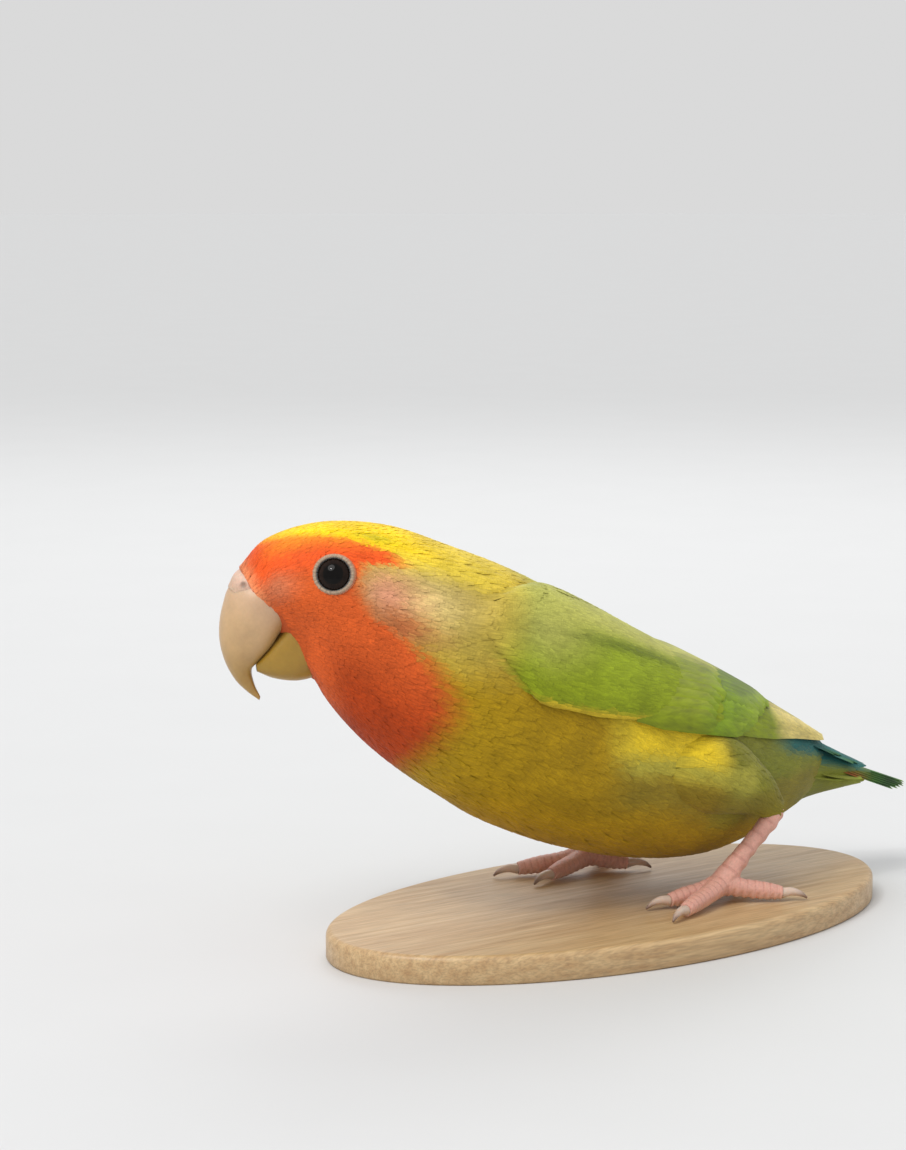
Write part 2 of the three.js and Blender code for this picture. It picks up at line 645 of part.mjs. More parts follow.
function placeLeg(made, side) {
  const moved = made.subtract(under).translate([side > 0 ? 0 : STRIDE, 0, 0]);
  return side > 0 ? moved : moved.mirror([0, 1, 0]);
}
function thigh(grow = 0) {
  const places = THIGH.map((joint) => joint.at);
  const radii = THIGH.map((joint) => joint.radius + grow);
  return limb(places, radii, { sides: 16, steps: 10, squash: 0.85 });
}
function makeLegs() {
  for (const [name, side] of [["left", 1], ["right", -1]]) {
    const place = (made) => placeLeg(made, side);
    const middle = FOOT.clone().lerp(ANKLE, 0.5);
    const shank = limb([ANKLE, middle, FOOT], SHANK_RADII, { sides: 9, steps: 5 });
    const toes = TOES.map((toe) => limb(toePath(toe), TOE_RADII, { sides: 8, steps: 5 }));
    const foot = joined([shank, ...toes]).subtract(thigh(GAP));
    add("thigh_" + name, place(thigh()).subtract(bodyClear), LOOKS.breast);
    add("foot_" + name, place(foot).subtract(bodyClear), LOOKS.skin);
    TOES.forEach((toe, i) => {
      const claw = limb(clawPath(toe), CLAW_RADII, { sides: 6, steps: 4 });
      add(`claw_${name}_${i + 1}`, place(claw), LOOKS.claw);
    });
  }
}

// Base: an oval with an eased upper edge
const BASE_EASE = 1.2;
const BASE_EASE_MIDDLE = 0.3; // the eased edge's middle point lies this share of the ease from both faces
function makeBase() {
  const inset = (share) => 1 - (2 * BASE_EASE * share) / BASE_WIDTH;
  const outline = [
    [0, 0],
    [1, 0],
    [1, BASE_THICK - BASE_EASE],
    [inset(BASE_EASE_MIDDLE), BASE_THICK - BASE_EASE * BASE_EASE_MIDDLE],
    [inset(1), BASE_THICK],
    [0, BASE_THICK],
  ].map(([r, z]) => new THREE.Vector2(r, z));
  const round = new THREE.LatheGeometry(outline, 40);
  const stretched = (p) => vec((p.x * BASE_LENGTH) / 2, (p.z * BASE_WIDTH) / 2, p.y);
  add("stand_base", solid(round, stretched), LOOKS.stand);
}

add("torso", torso(), LOOKS.breast);
add("neck", neck(), LOOKS.face);
makeHead();
makeBill();
const tail = tailSolid().subtract(bodyClear);
makeWings(tailSolid());
add("tail", tail, LOOKS.tail);
makeLegs();
makeBase();

export default bird;
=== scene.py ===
"""A peach-faced lovebird on a plain oval base: skin, feathers, bill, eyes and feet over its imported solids.

Lengths are millimetres until a mesh is made, and angles are degrees unless a name says radians. The bird
is built looking straight ahead, and turned() then turns its neck and head to its right.
"""

import math

import bpy
import numpy as np
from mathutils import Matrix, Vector
from mathutils.kdtree import KDTree


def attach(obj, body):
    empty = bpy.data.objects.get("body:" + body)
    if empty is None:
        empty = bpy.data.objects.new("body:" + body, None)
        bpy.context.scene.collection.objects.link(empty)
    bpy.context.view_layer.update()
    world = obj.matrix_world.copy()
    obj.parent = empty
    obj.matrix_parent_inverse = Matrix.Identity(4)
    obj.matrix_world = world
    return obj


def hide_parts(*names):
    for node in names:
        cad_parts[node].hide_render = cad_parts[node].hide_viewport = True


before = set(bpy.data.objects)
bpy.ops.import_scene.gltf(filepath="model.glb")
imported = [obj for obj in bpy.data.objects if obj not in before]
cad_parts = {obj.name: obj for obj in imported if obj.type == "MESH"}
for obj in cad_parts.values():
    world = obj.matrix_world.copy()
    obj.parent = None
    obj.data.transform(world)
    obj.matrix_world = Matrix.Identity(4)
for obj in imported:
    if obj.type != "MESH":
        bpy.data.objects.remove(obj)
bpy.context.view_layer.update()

MM = 0.001
BODY = "root"

# Camera: its direction from the bird, its distance, the point at the middle of the picture, and the focal
# length in pixels of a picture that is LONG_SIDE pixels high.
CAMERA_AZIMUTH = -36.0
CAMERA_ELEVATION = 8.0
CAMERA_DISTANCE = 520.0
CAMERA_TARGET = (-35.0, 0.0, 66.3)
FOCAL_PIXELS = 3040.0
LONG_SIDE = 1150.0
SENSOR = 36.0

# Base and legs
BASE_LENGTH = 116.0
BASE_WIDTH = 62.0
BASE_THICK = 5.0
GAP = 0.3
SOLE = BASE_THICK + GAP

# How the neck turns: from TURN_START on, over TURN_LENGTH further forward, by HEAD_TURN.
HEAD_TURN = math.radians(30.0)
TURN_START = -30.0
TURN_LENGTH = 16.0
TURN_STEPS = 16

# Side-view sections: upper line x and z, lower line x and z, half the width.
TRUNK = [
    (-71.6, 68.6, -58.9, 48.9, 6.4),
    (-66.8, 73.3, -57.4, 46.0, 9.6),
    (-57.5, 75.9, -54.2, 41.8, 11.6),
    (-46.0, 75.1, -49.8, 37.2, 12.8),
    (-34.5, 71.0, -44.3, 32.7, 14.4),
    (-23.0, 66.2, -37.0, 27.6, 16.8),
    (-11.0, 60.0, -27.0, 21.8, 18.8),
    (3.0, 52.8, -12.8, 16.0, 19.4),
    (18.0, 45.6, 3.5, 11.8, 17.6),
    (30.0, 39.3, 19.5, 10.6, 13.6),
    (40.5, 33.6, 34.5, 14.0, 9.6),
    (49.0, 28.4, 46.5, 18.4, 4.8),
]
PAST_RUMP = [(49.0, 29.2, 44.0, 16.5, 7.2), (58.0, 24.8, 55.0, 16.5, 5.2)]
FIRST_WING_STATION = 4
UPPER_BILL = [
    (-66.0, 69.0, -57.5, 62.5, 4.8),
    (-72.6, 66.0, -61.8, 61.0, 5.6),
    (-74.6, 61.8, -64.6, 57.6, 5.5),
    (-75.2, 57.0, -66.2, 54.9, 4.5),
    (-74.4, 52.7, -68.3, 52.6, 3.4),
    (-72.6, 49.2, -69.7, 51.0, 2.2),
    (-70.6, 47.1, -69.3, 48.4, 1.2),
    (-68.5, 45.5, -68.3, 46.1, 0.35),
]
LOWER_BILL = [
    (-57.5, 61.0, -55.5, 51.0, 4.3),
    (-62.0, 60.8, -58.7, 49.6, 5.0),
    (-65.2, 57.4, -62.2, 48.9, 4.7),
    (-67.4, 54.4, -66.0, 49.4, 4.0),
    (-69.0, 52.4, -68.9, 50.6, 2.8),
]
CERE = [
    (-69.8, 69.6, -66.2, 63.8, 4.2),
    (-72.6, 67.6, -67.8, 62.8, 4.6),
    (-73.9, 65.2, -69.4, 62.0, 3.7),
]


# Small helpers
def smooth(x):
    x = np.clip(x, 0.0, 1.0)
    return x * x * (3.0 - 2.0 * x)


def between(x, low, high):
    """0 below low, 1 above high, and smooth between them."""
    return smooth((x - low) / (high - low))


def lerp(a, b, share):
    return a + (b - a) * share


def unit(v):
    return v / np.linalg.norm(v, axis=-1, keepdims=True)


def srgb(red, green, blue):
    """A colour as a screen shows it, 0 to 255, in the linear values that Blender works in."""
    c = np.array([red, green, blue], float) / 255.0
    return np.where(c <= 0.04045, c / 12.92, ((c + 0.055) / 1.055) ** 2.4)


def spline(points, at):
    """A smooth line through points, read at station numbers."""
    p = np.asarray(points, float)
    last = len(p) - 1
    p = np.vstack([2 * p[0] - p[1], p, 2 * p[-1] - p[-2]])
    at = np.clip(np.asarray(at, float), 0.0, last)
    i = np.minimum(at.astype(int), last - 1)
    w = (at - i)[..., None]
    a, b, c, d = p[i], p[i + 1], p[i + 2], p[i + 3]
    return 0.5 * (2 * b + (c - a) * w + (2 * a - 5 * b + 4 * c - d) * w**2 + (3 * b - a - 3 * c + d) * w**3)


def turn_table():
    yaw = HEAD_TURN * smooth((np.arange(TURN_STEPS) + 0.5) / TURN_STEPS)
    step = TURN_LENGTH / TURN_STEPS
    x = np.concatenate([[0.0], np.cumsum(-step * np.cos(yaw))])
    y = np.concatenate([[0.0], np.cumsum(step * np.sin(yaw))])
    return x, y


TURN_X, TURN_Y = turn_table()


def turned(p):
    """Points of the straight bird, moved as if its spine curved to its right ahead of TURN_START."""
    p = np.asarray(p, float)
    ahead = np.maximum(TURN_START - p[..., 0], 0.0)
    share = np.minimum(ahead / TURN_LENGTH, 1.0)
    yaw = HEAD_TURN * smooth(share)
    steps = np.arange(TURN_STEPS + 1)
    beyond = np.maximum(ahead - TURN_LENGTH, 0.0)
    centre_x = np.interp(share * TURN_STEPS, steps, TURN_X) - beyond * np.cos(yaw)
    centre_y = np.interp(share * TURN_STEPS, steps, TURN_Y) + beyond * np.sin(yaw)
    x = np.maximum(p[..., 0], TURN_START) + centre_x + p[..., 1] * np.sin(yaw)
    y = centre_y + p[..., 1] * np.cos(yaw)
    return np.stack([x, y, p[..., 2]], -1)


# Surfaces. Each has at(t, a): its points for stations t and angles a. The angle is 0 at the outer left side,
# 90 at the upper line and -90 at the lower one.
class Surface:
    NUDGE = 0.01

    def normal(self, t, a):
        back = self.at(t + self.NUDGE, a) - self.at(t - self.NUDGE, a)
        over = self.at(t, a + self.NUDGE) - self.at(t, a - self.NUDGE)
        return unit(np.cross(back, over))

    def raised(self, t, a, high):
        """Points that lie high above the surface."""
        high = np.broadcast_to(high, np.shape(t))
        return self.at(t, a) + self.normal(t, a) * high[..., None]

    def limits(self):
        """The lowest and highest station that a vane's points may have, where there still is a normal."""
        return self.NUDGE, self.last - self.NUDGE

    def scale(self, t, a):
        """Millimetres to a station and to a degree, at each place."""
        reach = 2 * self.NUDGE
        back = self.at(t + self.NUDGE, a) - self.at(t - self.NUDGE, a)
        over = self.at(t, a + self.NUDGE) - self.at(t, a - self.NUDGE)
        return np.linalg.norm(back, axis=-1) / reach, np.linalg.norm(over, axis=-1) / reach


class Tube(Surface):
    """A tube between an upper and a lower line of the side view."""

    def __init__(self, stations, upper, lower):
        self.stations = stations
        self.last = len(stations) - 1
        self.upper = upper
        self.lower = lower

    def at(self, t, a, grow=0.0, shrink=1.0, push=0.0):
        t, a = np.broadcast_arrays(np.asarray(t, float), np.asarray(a, float))
        s = spline(self.stations, t)
        rise = (s[..., [0, 1]] - s[..., [2, 3]]) / 2
        middle = (s[..., [0, 1]] + s[..., [2, 3]]) / 2
        depth = np.linalg.norm(rise, axis=-1)
        up = rise / depth[..., None]
        sine = np.sin(np.radians(a))
        cosine = np.cos(np.radians(a))
        power = 2.0 / np.where(sine > 0, self.upper, self.lower)
        side = np.sign(cosine) * np.abs(cosine) ** power * (s[..., 4] + grow) * shrink
        high = np.sign(sine) * np.abs(sine) ** power * (depth + grow) * shrink
        x = middle[..., 0] + up[..., 0] * high + up[..., 1] * push
        z = middle[..., 1] + up[..., 1] * high - up[..., 0] * push
        return np.stack([x, -side, z], -1)


class Limb(Surface):
    """A round limb through points, with a radius at each and its sideways radius times squash. Past its last
    point it runs straight on."""

    OVERHANG = 0.25
    GLANCE = 0.02  # how far along itself it looks for its direction

    def __init__(self, points, radii, squash=1.0):
        self.points = np.asarray(points, float)
        self.radii = np.asarray(radii, float)[:, None]
        self.last = len(points) - 1
        self.squash = squash

    def limits(self):
        return 0.0, self.last + self.OVERHANG

    def at(self, t, a, grow=0.0):
        t, a = np.broadcast_arrays(np.asarray(t, float), np.asarray(a, float))
        inner = np.clip(t, 0.0, self.last)
        reach = np.linalg.norm(self.points[-1] - self.points[-2])
        ahead = spline(self.points, np.clip(inner + self.GLANCE, 0, self.last))
        behind = spline(self.points, np.clip(inner - self.GLANCE, 0, self.last))
        along = unit(ahead - behind)
        centre = spline(self.points, inner) + along * ((t - inner) * reach)[..., None]
        side = unit(np.cross(along, [0.0, 0.0, 1.0]))
        up = np.cross(side, along)
        r = spline(self.radii, inner)[..., 0] + grow
        outward = np.cos(np.radians(a))[..., None] * side * self.squash
        upward = np.sin(np.radians(a))[..., None] * up
        return centre + (outward + upward) * r[..., None]


trunk = Tube(TRUNK, 2.3, 2.1)
TRUNK_DOME = 1.2
COAT_STATIONS = [0.0, 1.5, 3.0, 4.5, 7.0, 11.0]
COAT_DEPTHS = [0.35, 0.45, 0.7, 1.0, 1.2, 1.0]


def coat_depth(t):
    return np.interp(t, COAT_STATIONS, COAT_DEPTHS)


# The cheeks hollow smoothly at the corners of the mouth, over an oval of the side view.
GAPE = (-68.0, 54.5)
GAPE_REACH = (15.0, 11.5)
GAPE_NARROW = 0.6  # how much narrower the head is there
GAPE_DEEPER = 0.1  # how much deeper than elsewhere the skin lies there


def dipped(p, grow):
    x, y, z = p[..., 0], p[..., 1], p[..., 2]
    near = 1 - smooth(np.hypot((x - GAPE[0]) / GAPE_REACH[0], (z - GAPE[1]) / GAPE_REACH[1]))
    return np.stack([x, y * (1 - near * (GAPE_NARROW - GAPE_DEEPER * grow)), z], -1)


class Trunk(Surface):
    """The trunk's outer surface, with the dips in its cheeks. t runs a little past both ends, over domes."""

    last = trunk.last
    OVER_FACE = 0.6  # how far past each end of the trunk, in stations, the coat goes over its domes
    OVER_RUMP = 0.9
    PINCH = 0.001  # how wide a dome still is at its end, as a share

    def limits(self):
        return -self.OVER_FACE, self.last + self.OVER_RUMP

    def at(self, t, a, grow=0.0):
        t = np.asarray(t, float)
        over = np.where(t < 0, t, np.maximum(t - self.last, 0.0))
        quarter = np.clip(over, -1.0, 1.0) * math.pi / 2
        push = np.sin(quarter) * (TRUNK_DOME + grow)
        p = trunk.at(t, a, grow, lerp(self.PINCH, 1.0, np.cos(quarter)), push)
        return dipped(p, grow)


body = Trunk()


def folded(a):
    """An angle on either side of the body as one on the left side, from -90 to 90."""
    a = (np.asarray(a, float) + 180.0) % 360.0 - 180.0
    return np.where(a > 90, 180 - a, np.where(a < -90, -180 - a, a))


# Markings
VIVID = srgb(232, 88, 30)
AMBER = srgb(240, 138, 34)
CHEEK = srgb(204, 88, 34)
BIB = srgb(172, 62, 14)
LORE = srgb(196, 114, 78)
FRONT = srgb(224, 142, 96)
CROWN = srgb(250, 210, 12)
NAPE = srgb(230, 202, 66)
STAIN = srgb(180, 172, 28)
EAR = srgb(216, 150, 116)
EAR_BROWN = srgb(166, 94, 52)
EAR_GREY = srgb(206, 182, 116)
NECK_SIDE = srgb(178, 156, 66)
MUSTARD = srgb(160, 128, 12)
BELLY = srgb(168, 134, 12)
BACK = srgb(186, 184, 74)
FLANK = srgb(142, 126, 22)
THIGH = srgb(228, 196, 40)
VENT = srgb(122, 126, 40)
# PAINTED_SHADE is painted shade, for a band under the thigh's bright lobe.
PAINTED_SHADE = srgb(128, 114, 36)
THIGH_PALE = srgb(176, 168, 66)
RUMP = srgb(34, 100, 96)
CERE_PINK = srgb(214, 180, 160)

# The orange face's edge: an angle, the station where the orange ends, and over how many stations it fades.
ORANGE_EDGE = [
    (-90, 3.85, 0.4), (-75, 3.9, 0.4), (-60, 3.95, 0.4), (-45, 4.1, 0.35), (-30, 4.2, 0.3), (-20, 4.2, 0.3),
    (-10, 4.1, 0.3), (0, 3.8, 0.3), (5, 3.4, 0.35), (10, 2.75, 0.25), (20, 2.55, 0.2), (30, 2.5, 0.15),
    (40, 2.6, 0.15), (44, 3.2, 0.2), (50, 3.1, 0.25), (58, 2.5, 0.3), (65, 1.9, 0.35), (75, 1.3, 0.4),
    (90, 0.9, 0.4),
]


def spot(t, a, centre, radii):
    """1 at the middle of an oval on the surface, falling smoothly to 0 at its edge."""
    far = np.hypot((t - centre[0]) / radii[0], (a - centre[1]) / radii[1])
    return 1.0 - smooth(far)


def plain(colour, shape):
    """One colour all over a grid."""
    return np.broadcast_to(colour, tuple(shape) + (3,))


def blend(colour, other, share):
    return colour + (other - colour) * np.asarray(share)[..., None]


def thigh_marks_and_shade(c, p):
    """The bright lobe along the top of the thigh, the paler patch below it, a band of painted shade under
    that and the olive behind it. They go by place in the side view."""
    x, z = p[..., 0], p[..., 2]
    below = np.interp(x, [-16.0, -1.0, 14.0], [38.5, 36.0, 31.5]) - z
    near = between(x, -18.0, -8.0) * between(below, -9.0, -5.0)
    c = blend(c, VENT, near * between(x, 7.0, 13.0) * (1 - between(below, 10.0, 16.0)) * 0.85)
    # Painted shade in a band 5 to 15 mm under the lobe's line.
    c = blend(c, PAINTED_SHADE, near * between(below, 5.0, 8.0) * (1 - between(below, 10.0, 15.0)) * 0.7)
    pale = (1 - between(below, 4.5, 8.0)) * (1 - between(x, 8.0, 12.0) * (1 - between(below, 0.0, 3.0)))
    c = blend(c, THIGH_PALE, near * pale * (1 - between(x, 15.0, 19.0)) * 0.8)
    return blend(c, THIGH, near * (1 - between(below, 0.5, 4.5)) * (1 - between(x, 6.0, 12.0)))


def markings(t, a):
    """The coat's colour at a station and an angle, with painted shade under the thighs. Both sides are marked
    alike.
    """
    a = folded(a)
    c = blend(plain(BELLY, a.shape), MUSTARD, between(a, -75, -25))
    c = blend(c, FLANK, between(a, -2, 22) * between(t, 4.6, 5.2) * 0.7)
    c = blend(c, BACK, between(a, 52, 70) * between(t, 3.9, 5.4))
    c = blend(c, VENT, np.maximum(spot(t, a, (9.2, 4.0), (1.5, 34.0)), between(t, 9.3, 10.8)))
    # The thigh's marks, and painted shade under them.
    c = thigh_marks_and_shade(c, trunk.at(t, a))
    c = blend(c, RUMP, between(t, 8.8, 9.8) * between(a, 14, 30))
    front = 1 - between(t, 4.0, 5.3)
    c = blend(c, NECK_SIDE, front * between(a, -8, 12))
    c = blend(c, NAPE, front * between(a, 34, 52))
    c = blend(c, EAR_GREY, spot(t, a, (3.55, 28.0), (0.75, 26.0)))
    c = blend(c, EAR, spot(t, a, (2.95, 23.0), (0.85, 27.0)))
    c = blend(c, EAR_BROWN, spot(t, a, (3.2, 11.0), (0.95, 14.0)))
    c = blend(c, CROWN, (1 - between(t, 2.9, 4.0)) * between(a, 48, 60))
    c = blend(c, STAIN, spot(t, a, (2.75, 64.0), (0.55, 9.0)) * 0.8)
    angles, ends, fades = zip(*ORANGE_EDGE)
    edge = np.interp(a, angles, ends)
    soft = np.interp(a, angles, fades)
    orange = blend(plain(BIB, a.shape), CHEEK, between(a, -35, 5))
    orange = blend(orange, CHEEK, 1 - between(t, 1.2, 2.4))
    orange = blend(orange, VIVID, between(a, 26, 42))
    orange = blend(orange, AMBER, between(a, 46, 66) * between(t, 0.5, 1.5))
    orange = blend(orange, LORE, spot(t, a, (0.75, 27.0), (0.9, 20.0)) * 0.85)
    orange = blend(orange, FRONT, (1 - between(t, 0.0, 0.45)) * between(a, 5, 30) * 0.8)
    orange = blend(orange, CERE_PINK, (1 - between(t, -0.4, 0.0)) * between(a, 5, 30) * 0.7)
    return blend(c, orange, 1 - smooth((t - edge) / (2 * soft) + 0.5))


# Meshes
def put_mesh(name, points, faces, colours=None, maps=(), tips=None):
    """A smooth mesh object from points in millimetres. faces is a list of index arrays with 3 or 4 columns.
    colours has a linear colour for each point, and maps (name, uv for each corner) pairs. tips are points a
    little way out of the surface at each point, where the way that it faces isn't left to its faces."""
    mesh = bpy.data.meshes.new(name)
    sizes = np.concatenate([np.full(len(f), f.shape[1]) for f in faces])
    corners = np.concatenate([f.ravel() for f in faces]).astype(np.int32)
    mesh.vertices.add(len(points))
    mesh.vertices.foreach_set("co", (np.asarray(points, np.float32) * MM).ravel())
    mesh.loops.add(len(corners))
    mesh.loops.foreach_set("vertex_index", corners)
    mesh.polygons.add(len(sizes))
    starts = np.concatenate([[0], np.cumsum(sizes)[:-1]]).astype(np.int32)
    mesh.polygons.foreach_set("loop_start", starts)
    mesh.polygons.foreach_set("use_smooth", np.ones(len(sizes), bool))
    if colours is not None:
        paint(mesh, colours)
    for map_name, uv in maps:
        layer = mesh.uv_layers.new(name=map_name)
        layer.uv.foreach_set("vector", np.asarray(uv, np.float32).ravel())
    mesh.update(calc_edges=True)
    if tips is not None:
        facing = unit(tips - points)[corners]
        flat = np.zeros(len(sizes) * 3, np.float32)
        mesh.polygons.foreach_get("normal", flat)
        outward = np.repeat(flat.reshape(-1, 3), sizes, axis=0)
        inside = np.sum(facing * outward, axis=1) < 0
        mesh.normals_split_custom_set(np.where(inside[:, None], -facing, facing))
    piece = bpy.data.objects.new(name, mesh)
    bpy.context.scene.collection.objects.link(piece)
    return piece


def paint(mesh, colours):
    """Stores a linear colour for each point, which the materials read as Markings."""
    layer = mesh.color_attributes.new("Markings", "FLOAT_COLOR", "POINT")
    full = np.ones((len(mesh.vertices), 4), np.float32)
    full[:, :3] = colours
    layer.data.foreach_set("color", full.ravel())


def band_faces(rows, sides, ring=False):
    """Faces of four corners between closed rows of points. In a ring the last row joins the first."""
    i, k = np.divmod(np.arange((rows if ring else rows - 1) * sides), sides)
    j, n = (i + 1) % rows, (k + 1) % sides
    return np.stack([i * sides + k, j * sides + k, j * sides + n, i * sides + n], 1)


def closed_tube(rings):
    """Points and faces of a closed body from rings of points (rows, sides, 3). Triangles to two more points
    close its ends."""
    rows, sides = rings.shape[:2]
    first = np.arange(sides)
    after = np.roll(first, -1)
    last = (rows - 1) * sides
    start = np.stack([np.full(sides, rows * sides), first, after], 1)
    finish = np.stack([np.full(sides, rows * sides + 1), last + after, last + first], 1)
    ends = np.stack([rings[0].mean(0), rings[-1].mean(0)])
    points = np.concatenate([rings.reshape(-1, 3), ends])
    return points, [band_faces(rows, sides), np.concatenate([start, finish])]


def with_ends(colours):
    """Colours for a closed tube's points, from those of its rings."""
    return np.concatenate([colours.reshape(-1, 3), colours[0, :1], colours[-1, :1]])


def flipped(faces):
    return [f[:, ::-1] for f in faces]


def sided(faces, side):
    """Faces made for the left side, for the left one (1) or the right one (-1)."""
    return faces if side > 0 else flipped(faces)


def mirror(points, side):
    """Points made for the left side, for the left one (1) or the right one (-1)."""
    return points if side > 0 else points * [1, -1, 1]


def flipped_maps(maps):
    """The maps of faces of four corners that run the other way round."""
    return [(name, uv.reshape(-1, 4, 2)[:, ::-1].reshape(-1, 2)) for name, uv in maps]


def ring_grid(stations, sides):
    """Stations, and even angles round a tube, as two grids."""
    return np.meshgrid(stations, np.arange(sides) * 360.0 / sides, indexing="ij")


def nearest(sources, points):
    """The index of the source that is nearest to each point, and how far off it is."""
    tree = KDTree(len(sources))
    for i, p in enumerate(sources):
        tree.insert(p, i)
    tree.balance()
    found = [tree.find(p) for p in points]
    return np.array([f[1] for f in found]), np.array([f[2] for f in found])


def fused(bodies, voxel, rounds):
    """One closed surface round overlapping bodies, with faces of one size, smoothed a few rounds."""
    points, faces, count = [], [], 0
    for p, f in bodies:
        points.append(p)
        faces += [part + count for part in f]
        count += len(p)
    piece = put_mesh("fusing", np.concatenate(points) / MM, faces)
    remesh = piece.modifiers.new("remesh", "REMESH")
    remesh.mode = "VOXEL"
    remesh.voxel_size = voxel
    ease = piece.modifiers.new("ease", "SMOOTH")
    ease.iterations = rounds
    graph = bpy.context.evaluated_depsgraph_get()
    made = bpy.data.meshes.new_from_object(piece.evaluated_get(graph))
    co = np.zeros(len(made.vertices) * 3, np.float32)
    made.vertices.foreach_get("co", co)
    quads = np.array([tuple(p.vertices) for p in made.polygons])
    bpy.data.objects.remove(piece)
    bpy.data.meshes.remove(made)
    return co.reshape(-1, 3).astype(float), [quads]


def dress(piece, material, slot, *nodes):
    """Gives a piece its material, its body and the solids that it stands for. Its record slot is not used."""
    piece.data.materials.append(material)
    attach(piece, BODY)
    if nodes:
        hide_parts(*nodes)


def build(name, points, faces, colours, material, slot, nodes=(), maps=(), tips=None, side=1, place=mirror):
    """Makes a dressed piece. Its points are those of the left side of the straight bird. They are placed on
    the left (1) or the right (-1), and turned with the bird."""
    points = turned(place(points, side))
    if tips is not None:
        tips = turned(place(tips, side))
    maps = maps if side > 0 else flipped_maps(maps)
    dress(put_mesh(name, points, sided(faces, side), colours, maps, tips), material, slot, *nodes)


def build_tube(name, rings, colours, material, slot, nodes=(), side=1):
    """Makes a dressed closed tube of rings, with a colour for each of their points."""
    points, faces = closed_tube(rings)
    build(name, points, faces, with_ends(colours), material, slot, nodes, side=side)


# Materials
class Look:
    """A node material. Numbers that are the same all over go on the shader's own sockets."""

    def __init__(self, name, **sockets):
        self.material = bpy.data.materials.new(name)
        self.material.use_nodes = True
        self.tree = self.material.node_tree
        self.shader = self.tree.nodes["Principled BSDF"]
        for socket, value in sockets.items():
            self.shader.inputs[socket.replace("_", " ")].default_value = value

    def node(self, kind, inputs=None, **settings):
        node = self.tree.nodes.new("ShaderNode" + kind)
        for key, value in settings.items():
            setattr(node, key, value)
        for key, value in (inputs or {}).items():
            if isinstance(value, bpy.types.NodeSocket):
                self.tree.links.new(value, node.inputs[key])
            else:
                node.inputs[key].default_value = value
        return node

    def math(self, operation, a, b=0.0):
        return self.node("Math", {0: a, 1: b}, operation=operation).outputs[0]

    def noise(self, vector, scale, detail=2.0, rough=0.5):
        made = self.node("TexNoise", {"Vector": vector, "Scale": scale, "Detail": detail, "Roughness": rough})
        return made.outputs[0]

    def spread(self, value, low, high, start=0.3, end=0.7):
        """value from start to end, as low to high."""
        inputs = {"Value": value, "From Min": start, "From Max": end, "To Min": low, "To Max": high}
        return self.node("MapRange", inputs).outputs[0]

    def marks(self):
        return self.node("Attribute", attribute_name="Markings").outputs["Color"]

    def place(self):
        return self.node("TexCoord").outputs["Object"]

    def times(self, colour, value):
        """A colour made lighter or darker by a value at each place."""
        grey = self.node("CombineColor", {0: value, 1: value, 2: value}).outputs[0]
        mixed = self.node("Mix", {"Factor": 1.0}, data_type="RGBA", blend_type="MULTIPLY")
        return self.linked_mix(mixed, colour, grey)

    def linked_mix(self, mixed, a, b):
        """The colour sockets of a Mix node, which share their names with its number sockets."""
        colours = [s for s in mixed.inputs if s.type == "RGBA"]
        for socket, value in zip(colours, (a, b)):
            if isinstance(value, bpy.types.NodeSocket):
                self.tree.links.new(value, socket)
            else:
                socket.default_value = value
        return [s for s in mixed.outputs if s.type == "RGBA"][0]

    def mix(self, share, a, b):
        mixed = self.node("Mix", {0: share}, data_type="RGBA")
        return self.linked_mix(mixed, a, b)

    def colour(self, value):
        self.tree.links.new(value, self.shader.inputs["Base Color"])

    def rough(self, value):
        self.tree.links.new(value, self.shader.inputs["Roughness"])

    def bump(self, height, distance, strength=1.0):
        made = self.node("Bump", {"Height": height, "Distance": distance, "Strength": strength})
        self.tree.links.new(made.outputs[0], self.shader.inputs["Normal"])


def rgba(colour):
    return (*[float(c) for c in colour], 1.0)


def feather_look(name, streaks, barbs, roughness):
    """Feathers: streaks to a millimetre across the vane, fine barbs that slant from the shaft, and a tint
    that drifts over the body."""
    look = Look(name, Sheen_Weight=0.06, Sheen_Roughness=0.5, Specular_IOR_Level=0.15)
    uv = look.node("UVMap", uv_map="Vane").outputs[0]
    split = look.node("SeparateXYZ", {0: uv})
    across, along = split.outputs[0], split.outputs[1]
    slant = look.math("SUBTRACT", along, look.math("MULTIPLY", look.math("ABSOLUTE", across), barbs))
    along = look.math("MULTIPLY", slant, 0.4)
    fine = look.node("CombineXYZ", {0: look.math("MULTIPLY", across, streaks), 1: along}).outputs[0]
    hairs = look.noise(fine, 1.0, 3.0, 0.6)
    barb = look.noise(look.node("CombineXYZ", {0: look.math("MULTIPLY", slant, 4.5)}).outputs[0], 1.0, 2.0)
    patch = look.noise(look.place(), 160.0, 3.0)
    shade = look.spread(hairs, 0.72, 1.28, 0.25, 0.75)
    shade = look.math("MULTIPLY", shade, look.spread(patch, 0.86, 1.14))
    shade = look.math("MULTIPLY", shade, look.spread(barb, 0.9, 1.1))
    look.colour(look.times(look.marks(), shade))
    look.rough(look.spread(hairs, roughness - 0.1, roughness + 0.1))
    look.bump(look.math("ADD", hairs, look.math("MULTIPLY", barb, 0.6)), 0.00012, 0.5)
    return look.material


def skin_look():
    look = Look("skin under the coat", Roughness=0.8)
    grain = look.noise(look.place(), 900.0, 4.0)
    look.colour(look.times(look.marks(), look.spread(grain, 0.8, 1.0)))
    look.bump(grain, 0.0002, 0.5)
    return look.material


